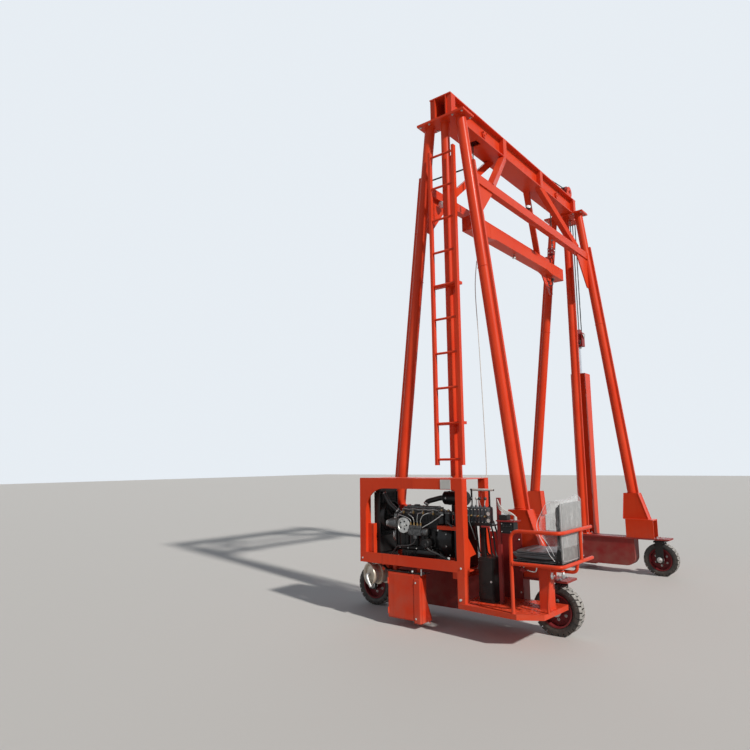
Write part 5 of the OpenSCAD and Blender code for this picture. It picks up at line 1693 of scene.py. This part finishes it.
def even_faces(made, voxel):
    """Remeshes an object into even faces of that size."""
    remesh = made.modifiers.new("even faces", "REMESH")
    remesh.mode = "VOXEL"
    remesh.voxel_size = voxel
    bake_modifiers(made)


def finer(made):
    """Splits every face once, smoothly."""
    smoother = made.modifiers.new("finer", "SUBSURF")
    smoother.levels = smoother.render_levels = 1
    bake_modifiers(made)
    made.data.shade_smooth()


def inflate(made, low, high, seams, voxel=0.0055, most=0.01):
    """Remeshes a box, blows it up as cloth between pinned seams, and caps how far it moved."""
    even_faces(made, voxel)
    rest = [vertex.co.copy() for vertex in made.data.vertices]
    held = made.vertex_groups.new(name="held")
    for index, point in enumerate(rest):
        if seams(point):
            held.add([index], 1.0, "REPLACE")
    cloth = made.modifiers.new("upholstery", "CLOTH")
    cloth.settings.use_pressure = True
    cloth.settings.uniform_pressure_force = 4
    cloth.settings.vertex_group_mass = "held"
    cloth.settings.tension_stiffness = 12
    cloth.settings.bending_stiffness = 0.8
    cloth.settings.effector_weights.gravity = 0
    cloth.point_cache.frame_start, cloth.point_cache.frame_end = 1, 20
    for number in range(1, 21):
        bpy.context.scene.frame_set(number)
    bake_modifiers(made)
    bpy.context.scene.frame_set(1)
    for vertex, before in zip(made.data.vertices, rest):
        moved = vertex.co - before
        if moved.length > most:
            vertex.co = before + moved.normalized() * most
        for axis in range(3):
            vertex.co[axis] = min(max(vertex.co[axis], low[axis]), high[axis])
    finer(made)


def upholstered(name, low, high, inset, edge, seams, most, fill, *replaced):
    """An inflated cushion inside the CAD's box; `inset` leaves room for it to swell."""
    small_low = [low[axis] + inset[axis] for axis in range(3)]
    small_high = [high[axis] - inset[axis] for axis in range(3)]
    made = rounded_box(name, small_low, small_high, edge)
    inflate(made, low, high, seams, most=most)
    made.data.materials.clear()
    made.data.materials.append(seat_vinyl)
    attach(made, "frame")
    if replaced:
        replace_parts(made, *replaced)
    print(name, len(made.data.vertices), "points")


# %% Cushion and back
def cushion_seam(point):
    """The cushion is held along its piping, at two pressed lines and on its underside."""
    inside = min(point.x - SEAT_X[0], SEAT_X[1] - point.x, point.y - SEAT_Y[0], SEAT_Y[1] - point.y)
    pressed = abs(point.x - 1.03) < 0.004 or abs(point.x - 1.17) < 0.004
    return point.z < 0.722 or (point.z > 0.79 and pressed and inside > 0.03) or abs(inside
        - 0.03) < 0.003 and point.z > 0.78


def back_seam(point):
    """The back is held at its rear face, its rim and one pressed line."""
    across = min(point.y - SEAT_Y[0], SEAT_Y[1] - point.y)
    return point.x > 1.346 or abs(point.z - 0.96) < 0.004 and across > 0.03


def seat():
    """Cushion, back, piping, pan, side hinges and the seat's slides."""
    low, high = (SEAT_X[0], SEAT_Y[0], 0.714), (SEAT_X[1], SEAT_Y[1], CUSHION_Z[1])
    high = (SEAT_X[1] - 0.015, high[1], high[2])
    upholstered("seat_cushion_padded", low, high, (0.01, 0.01, 0.008), 0.03, cushion_seam, 0.01, 0.7,
        "seat_cushion")
    low, high = (BACK_X[0], SEAT_Y[0] + 0.01, BACK_Z[0] + 0.012), (BACK_X[1] - 0.008, SEAT_Y[1] - 0.01,
        BACK_Z[1])
    upholstered("seat_back_padded", low, high, (0.012, 0.012, 0.01), 0.026, back_seam, 0.012, 0.7,
        "seat_back")
    piping = Shape()
    for height, inset, radius in ((0.782, 0.01, 0.0042), (0.726, 0.01, 0.0038)):
        x0, x1, y0, y1 = SEAT_X[0] + inset, SEAT_X[1] - inset, SEAT_Y[0] + inset, SEAT_Y[1] - inset
        corners = [(x0, y0), (x1, y0), (x1, y1), (x0, y1)]
        path = []
        for index, (x, y) in enumerate(corners):
            towards_x, towards_y = (1 if x < 1.12 else -1), (1 if y < SEAT_LINE else -1)
            centre = (x + towards_x * 0.028, y + towards_y * 0.028)
            for step in range(7):
                turn = radians(180 + 90 * index + 15 * step)
                path.append((centre[0] + 0.028 * cos(turn), centre[1] + 0.028 * sin(turn), height))
        piping.tube(path, radius, 8, closed=True)
    piping.piece("seat_piping", seat_vinyl, "seat_vinyl")
    steel = Shape()
    steel.block((0.893, SEAT_Y[0] + 0.005, 0.7), (1.358, SEAT_Y[1] - 0.005, 0.716), 0.005)
    for y in (-2.255, -2.035):
        steel.block((0.94, y - 0.016, 0.684), (1.3, y + 0.016, 0.702), 0.002)
    for y, out in ((SEAT_Y[0] + 0.006, -1), (SEAT_Y[1] - 0.006, 1)):
        steel.slab([(x, z) for x, z in ((1.3, 0.716), (1.349, 0.716), (1.349, 0.86), (1.336, 0.875),
            (1.322, 0.86), (1.306, 0.76))], (0, y, 0), (0, out, 0), 0.004)
        steel.bolts([(1.335, y + out * 0.004, 0.85), (1.328, y + out * 0.004, 0.735)], (0, out, 0), 0.007)
    shell = Shape()
    shell.block((1.35, SEAT_Y[0] + 0.0035, 0.722), (1.3628, SEAT_Y[1] - 0.0035, 1.216), 0.01, 3)
    for y in (-2.265, -2.025):
        shell.block((1.36, y - 0.004, 0.76), (1.3636, y + 0.004, 1.18), 0.0015)
    shell.piece("seat_back_shell", grey_vinyl, "seat_vinyl", 40)
    steel.piece("seat_pan", black_paint, "black_paint")


seat()


# %% Clear film over the back
FILM_LOW = (1.262, -2.408, 0.82)
FILM_HIGH = (1.3715, -1.893, 1.238)
PEAK_X, PEAK_Y, PEAK_REACH = 1.345, -1.945, 0.12
SAIL_OUT, SAIL_HIGH = 0.105, 0.42
SAIL_Y, SAIL_REACH = -2.403, 0.34


def film():
    """A loose transparent bag: it follows the back, stands off in folds, and peaks at a corner."""
    made = rounded_box("back_film", FILM_LOW, FILM_HIGH, 0.024)
    even_faces(made, 0.011)
    for vertex in made.data.vertices:
        point = vertex.co
        upward = max(0.0, (point.z - 1.0) / 0.23)
        corner = max(0.0, 1 - ((point.y - PEAK_Y) ** 2 + (point.x - PEAK_X) ** 2) ** 0.5 / PEAK_REACH)
        forward = max(0.0, 1 - (point.x - FILM_LOW[0]) / 0.07)
        forward *= max(0.0, 1 - (point.y - SAIL_Y) / SAIL_REACH)
        folded = noise.noise(Vector((point.x * 9, point.y * 11, point.z * 5))) * 0.01
        fine = noise.noise(Vector((point.x * 30, point.y * 34, point.z * 14 + 3))) * 0.0035
        away = (point - Vector((1.316, SEAT_LINE, point.z))).normalized()
        vertex.co = point + away * (folded + fine)
        vertex.co.x = min(vertex.co.x, 1.375)
        vertex.co.z += 0.042 * upward * corner ** 1.3 + fine
        height = min(1.0, max(0.0, (point.z - FILM_LOW[2]) / SAIL_HIGH))
        vertex.co.x -= SAIL_OUT * forward * sin(pi * height) ** 1.2
    bmesh_data = bmesh.new()
    bmesh_data.from_mesh(made.data)
    underneath = [face for face in bmesh_data.faces if face.calc_center_median().z < 0.835]
    bmesh.ops.delete(bmesh_data, geom=underneath, context="FACES")
    bmesh_data.to_mesh(made.data)
    bmesh_data.free()
    finer(made)
    made.data.materials.append(clear_film)
    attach(made, "frame")
    # Thin pale tubes along the film's edges and folds: painted highlights where the film catches the light.
    edge_highlights = Shape()
    edge_highlights.hose([(1.345, -2.404, 1.232), (1.262, -2.406, 1.226), (1.2, -2.407, 1.13), (1.158, -2.407, 1.035),
        (1.18, -2.407, 0.94), (1.232, -2.405, 0.85), (1.262, -2.402, 0.79), (1.3, -2.398, 0.745)], 6,
        0.0022, 8)
    edge_highlights.hose([(1.371, -2.4, 1.226), (1.374, -2.402, 1.1), (1.373, -2.402, 0.96), (1.371, -2.392, 0.76)], 6,
        0.0018, 8)
    edge_highlights.hose([(1.371, -2.39, 0.752), (1.368, -2.3, 0.741), (1.368, -2.15, 0.738), (1.368, -1.916, 0.744)],
        6, 0.0015, 8)
    edge_highlights.hose([(1.19, -2.404, 0.945), (1.232, -2.407, 0.905), (1.262, -2.404, 0.86), (1.3, -2.404, 0.79)],
        6, 0.0015, 8)
    edge_highlights.piece("film_edge_highlights", film_edge_highlight, "seat_vinyl", 60)


film()

# %% [markdown]
# The guard rail is one bent tube with a lower rail and a post, all of the CAD's size; only
# the sharp corners of the CAD become the smooth bends that a tube bender makes.

# %% Guard rail
RAIL_R = 0.016
RAIL_X = (0.945, 1.39)
RAIL_Y = (-2.48, -1.78)
RAIL_POST = -2.04
RAIL_HIGH, RAIL_LOW, LINK_Z = 0.98, 0.71, 0.63


def bent(points, bend, steps=8):
    """A path of straight runs whose corners are rounded to the bend radius."""
    path = [Vector(points[0])]
    for before, corner, after in zip(points, points[1:], points[2:]):
        before, corner, after = Vector(before), Vector(corner), Vector(after)
        start = corner + (before - corner).normalized() * bend
        end = corner + (after - corner).normalized() * bend
        for step in range(steps + 1):
            t = step / steps
            path.append((1 - t) ** 2 * start + 2 * t * (1 - t) * corner + t ** 2 * end)
    return path + [Vector(points[-1])]


def guard_rail():
    """The rail's tubes, welds and end caps, with a plate under the seat and a strut below it."""
    shape, caps = shapes(2)
    (x0, x1), (y0, y1) = RAIL_X, RAIL_Y
    shape.tube(bent([(x0, y0, 0.302), (x0, y0, RAIL_HIGH), (x1, y0, RAIL_HIGH), (x1, y1, RAIL_HIGH)], 0.085,
        10), RAIL_R, 20)
    shape.tube(bent([(x0 + 0.012, y0, RAIL_LOW), (x1, y0, RAIL_LOW), (x1, y1, RAIL_LOW)], 0.075, 10),
        RAIL_R, 20)
    shape.tube([(x1, RAIL_POST, RAIL_LOW + 0.012), (x1, RAIL_POST, RAIL_HIGH - 0.012)], RAIL_R * 0.92, 18)
    shape.tube(bent([(x1, SEAT_LINE, RAIL_LOW - 0.012), (x1, SEAT_LINE, LINK_Z), (1.15, SEAT_LINE, LINK_Z)],
        0.05, 8), RAIL_R * 0.92, 18)
    shape.weld_round((x0 + RAIL_R, y0, RAIL_LOW), REAR, RAIL_R + 0.001, 0.004)
    shape.weld_round((x1, RAIL_POST, RAIL_LOW + RAIL_R), UP, RAIL_R, 0.004)
    shape.weld_round((x1, RAIL_POST, RAIL_HIGH - RAIL_R), UP, RAIL_R, 0.004)
    shape.weld_round((x1, SEAT_LINE, RAIL_LOW - RAIL_R), UP, RAIL_R, 0.004)
    shape.weld_round((1.157, SEAT_LINE, LINK_Z), REAR, RAIL_R, 0.004)
    shape.weld_round((x0, y0, 0.303), UP, RAIL_R + 0.001, 0.0045)
    shape.slab([(1.13, -2.33), (1.21, -2.33), (1.38, -2.46), (1.395, -2.44), (1.21, -2.1), (1.13, -2.1)],
        (0, 0, 0.6825), DOWN, 0.006)
    shape.tube(bent([(1.205, -2.3, 0.68), (1.205, -2.3, 0.6), (1.185, -2.315, 0.36),
        (1.185, -2.315, 0.302)], 0.03), 0.011, 14)
    for height in (RAIL_LOW, RAIL_HIGH):
        caps.solid([(0, RAIL_R), (0.004, RAIL_R), (0.007, 0.012)], (x1, y1, height), FAR, 24)
    made = shape.piece("guard_rail_bent", orange_paint, "orange_paint", 50)
    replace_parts(made, "guard_rail")
    caps.piece("rail_caps", knob_plastic, "black_paint")


guard_rail()


# %% Platform and pedestal
def platform_details():
    """Chequer bars on the deck, the pedestal's beads and small fittings."""
    plate, bright, red = shapes(3)
    for row in range(16):
        for column in range(10):
            x, y = 0.42 + 0.047 * row, -2.4 + 0.047 * column
            if (1.04 < x < 1.18 and -2.225 < y < -2.065) or (0.48 < x < 0.67 and y > -2.29 and y <
                    -2.07) or x > 1.13:
                continue
            lean = 0.011 if (row + column) % 2 else -0.011
            plate.bar((x - 0.011, y - lean, 0.3006), (x + 0.011, y + lean, 0.3006), 0.005, 0.0035, UP,
                0.001)
    for out in (-1, 1):
        plate.weld((1.064, SEAT_LINE + out * 0.061, 0.302), (1.157, SEAT_LINE + out * 0.061, 0.302), 0.005)
        plate.weld((1.064, SEAT_LINE + out * 0.061, 0.684), (1.157, SEAT_LINE + out * 0.061, 0.684), 0.004)
    plate.weld((1.157, SEAT_LINE - 0.06, 0.302), (1.157, SEAT_LINE + 0.06, 0.302), 0.005)
    bright.bolts([(0.945, -2.435, 0.7005)], UP, 0.001)
    for x in (0.97, 1.17):
        bright.bolts([(x, -2.327, 0.692)], NEAR, 0.006)
    red.tube([(0.952, -2.33, 0.64), (1.012, -2.33, 0.64)], 0.012, 14)
    red.turned([(0, 0), (0, 0.02), (0.01, 0.022), (0.018, 0.018), (0.02, 0)], (0.982, -2.33, 0.64), NEAR,
        24)
    bright.rod((0.982, -2.322, 0.642), (0.982, -2.322, 0.7), 0.006, 12)
    bright.tube(bent([(1.004, -2.322, 0.64), (1.06, -2.322, 0.628), (1.085, -2.3, 0.628),
        (1.095, -2.3, 0.684)], 0.018), 0.006, 12)
    for place, size in (((1.375, -2.42, 0.645), 0.015), ((1.245, -2.345, 0.612), 0.013)):
        bright.turned([(-0.022, 0.0), (-0.022, size * 0.5), (-0.01, size), (0.008, size),
            (0.014, size * 0.7), (0.03, size * 0.6), (0.034, 0)], place, (0, 0.1, 1), 24)
    bright.tube(bent([(1.375, -2.42, 0.672), (1.372, -2.415, 0.7), (1.36, -2.395, 0.712)], 0.01), 0.004, 10)
    plate.piece("deck_chequer", orange_paint, "orange_paint", 50)
    bright.piece("seat_fittings", zinc, "bare_steel")
    red.piece("lock_knob", dark_red_paint, "dark_red_paint")


platform_details()

# %% [markdown]
# The console carries the valve block, its levers with round knobs, a grab bar and the pipes
# down to the cabinet. Hoses run loose between the block and the panel behind it.

# %% Console
TRAY_Z = 0.98
GRAB_Y = -2.165


def console():
    """Valve block with sections, spools, levers, gauges, a cabinet with a door, and hoses."""
    block, bright, black, red, cable, knobs, hoses, brassy = (Shape() for _ in range(8))
    black.block((0.502, -2.268, 0.3), (0.652, -2.092, 0.698), 0.006, 2)
    black.block((0.512, -2.2725, 0.33), (0.642, -2.266, 0.675), 0.004)
    bright.rod((0.632, -2.276, 0.49), (0.632, -2.268, 0.49), 0.01)
    for z in (0.37, 0.61):
        black.rod((0.5085, -2.272, z - 0.02), (0.5085, -2.272, z + 0.02), 0.006)
    for index in range(6):
        black.block((0.53, -2.2745, 0.385 + 0.016 * index), (0.605, -2.272, 0.391 + 0.016 * index), 0.001)
    black.block((0.51, -2.222, 0.696), (0.554, -2.178, 0.982), 0.004)
    black.block((0.38, -2.28, TRAY_Z), (0.644, -2.12, 0.992), 0.003)
    black.block((0.38, -2.28, 0.99), (0.644, -2.275, 1.01), 0.002)
    for index in range(6):
        x = 0.388 + 0.0375 * index
        block.block((x, -2.256, 0.994), (x + 0.034, -2.144, 1.148), 0.004)
        bright.bolts([(x + 0.017, -2.256, z) for z in (1.012, 1.128)], NEAR, 0.0045)
        (brassy if index % 2 else block).solid([(0, 0.011), (0.012, 0.011), (0.016, 0.008), (0.028, 0.007)],
            (x + 0.017, -2.256, 1.07), NEAR, 6)
    for x in (0.382, 0.606):
        block.block((x, -2.25, 0.996), (x + 0.008, -2.15, 1.14), 0.003)
    for index in range(4):
        x = 0.434 + 0.045 * index
        lean = 0.01 * ((index % 2) * 2 - 1)
        block.turned([(0, 0.013), (0.012, 0.012), (0.022, 0.007), (0.024, 0)], (x, -2.23, 1.146), UP, 16)
        bright.rod((x, -2.23, 1.155), (x + lean * 0.3, -2.23 + lean, 1.216), 0.0048, 12)
        ball = [(0.0155 * (1 - cos(pi * step / 12)), 0.0155 * sin(pi * step / 12)) for step in range(13)]
        (cable if index == 1 else knobs).turned(ball, (x + lean * 0.3, -2.23 + lean, 1.213), UP, 24)
    for index in range(2):
        place = (0.632, -2.262, 1.035 + 0.062 * index)
        black.turned([(0, 0), (0, 0.02), (0.006, 0.023), (0.018, 0.023), (0.02, 0.02)], place, NEAR, 28)
        cable.turned([(0.0185, 0.0), (0.0185, 0.019)], place, NEAR, 28)
    for x in (0.397, 0.587):
        black.rod((x, GRAB_Y, 1.14), (x, GRAB_Y, 1.306), 0.009, 16)
        black.turned([(0, 0), (0, 0.016), (0.006, 0.016), (0.008, 0)], (x, GRAB_Y, 1.148), UP, 20)
    black.rod((0.386, GRAB_Y, 1.307), (0.638, GRAB_Y, 1.307), 0.009, 16)
    cable.rod((0.41, GRAB_Y, 1.307), (0.632, GRAB_Y, 1.307), 0.0112, 18)
    red.tube([(0.5, GRAB_Y, 1.298), (0.5, GRAB_Y, 1.24)], 0.0045, 10)
    red.turned([(0, 0), (0, 0.009), (0.014, 0.009), (0.016, 0)], (0.5, GRAB_Y, 1.228), UP, 16)
    for index in range(6):
        x = 0.405 + 0.0375 * index
        hoses.tube(bent([(x, -2.14, 1.02), (x, -2.112, 1.02), (x + 0.006 * index, -2.1, 0.9),
            (x + 0.02 + 0.006 * index, -2.102, 0.72), (0.58 + 0.012 * index, -2.11, 0.66)], 0.02), 0.0075,
            10)
        brassy.turned([(0, 0), (0, 0.01), (0.01, 0.01), (0.012, 0)], (x, -2.144, 1.02), FAR, 6)
    hoses.tube(smooth_path([(0.43, -2.284, 1.07), (0.445, -2.31, 1.02), (0.48, -2.315, 0.94),
        (0.5, -2.3, 0.86)]), 0.006, 10)
    red.block((0.56, -2.3, 0.972), (0.644, -2.276, 0.986), 0.003)
    red.turned([(0, 0), (0, 0.01), (0.02, 0.012), (0.026, 0)], (0.642, -2.288, 0.972), (0.3, 0, -1), 16)
    made = black.piece("console_stand", black_paint, "black_paint")
    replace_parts(made, "console")
    block.piece("valve_block", blue_grey_paint, "black_paint")
    bright.piece("console_fittings", zinc, "bare_steel")
    brassy.piece("console_unions", brass, "bare_steel")
    hoses.piece("console_hoses", hose_rubber, "tyre_rubber", 60)
    knobs.piece("lever_knobs", knob_plastic, "black_paint")
    cable.piece("console_pale_parts", pale_cable, "bare_steel")
    red.piece("console_red_parts", dark_red_paint, "dark_red_paint")


console()


# %% Panel, post and shelf
def panel_details():
    """The red post's shelf with its box and cables, and welds and bolts on the inner panel."""
    paint, black, bright, cable = shapes(4)
    paint.weld((0.455, -1.9325, 0.302), (0.455, -1.9325, 0.895), 0.003)
    for z in (0.36, 0.6, 0.84):
        bright.bolts([(x, -1.932, z) for x in (0.48, 0.76)], NEAR, 0.007)
    black.block((0.725, -2.255, 1.043), (0.8, -2.165, 1.09), 0.006, 2)
    black.block((0.735, -2.25, 0.925), (0.862, -2.15, 1.028), 0.008, 2)
    black.block((0.745, -2.256, 0.935), (0.85, -2.249, 1.018), 0.003)
    bright.bolts([(x, -2.256, z) for x in (0.752, 0.843) for z in (0.942, 1.011)], NEAR, 0.004)
    for x in (0.77, 0.8, 0.83):
        black.turned([(0, 0), (0, 0.01), (0.004, 0.011), (0.008, 0.006), (0.016, 0.005), (0.018, 0)],
            (x, -2.256, 0.988), NEAR, 16)
    for index in range(3):
        low = 0.02 * index
        cable.tube(smooth_path([(0.7, -2.222, 1.225 - low), (0.73, -2.238, 1.175 - low),
            (0.775, -2.232, 1.13 - low * 0.6), (0.825, -2.222, 1.112 - low * 0.4), (0.862, -2.215, 1.085),
            (0.868, -2.205 + low * 0.5, 1.046)]), 0.0048, 10)
    cable.turned([(0, 0), (0, 0.016), (0.03, 0.014), (0.036, 0)], (0.864, -2.205, 1.044), UP, 18)
    paint.weld((0.718, -2.216, 1.03), (0.718, -2.184, 1.03), 0.003)
    paint.weld_round((0.7, -2.2, 0.302), UP, 0.021, 0.004)
    paint.piece("panel_welds", dark_red_paint, "dark_red_paint", 50)
    black.piece("shelf_box", black_paint, "black_paint")
    bright.piece("panel_bolts", zinc, "bare_steel")
    cable.piece("shelf_cables", pale_cable, "bare_steel")


panel_details()
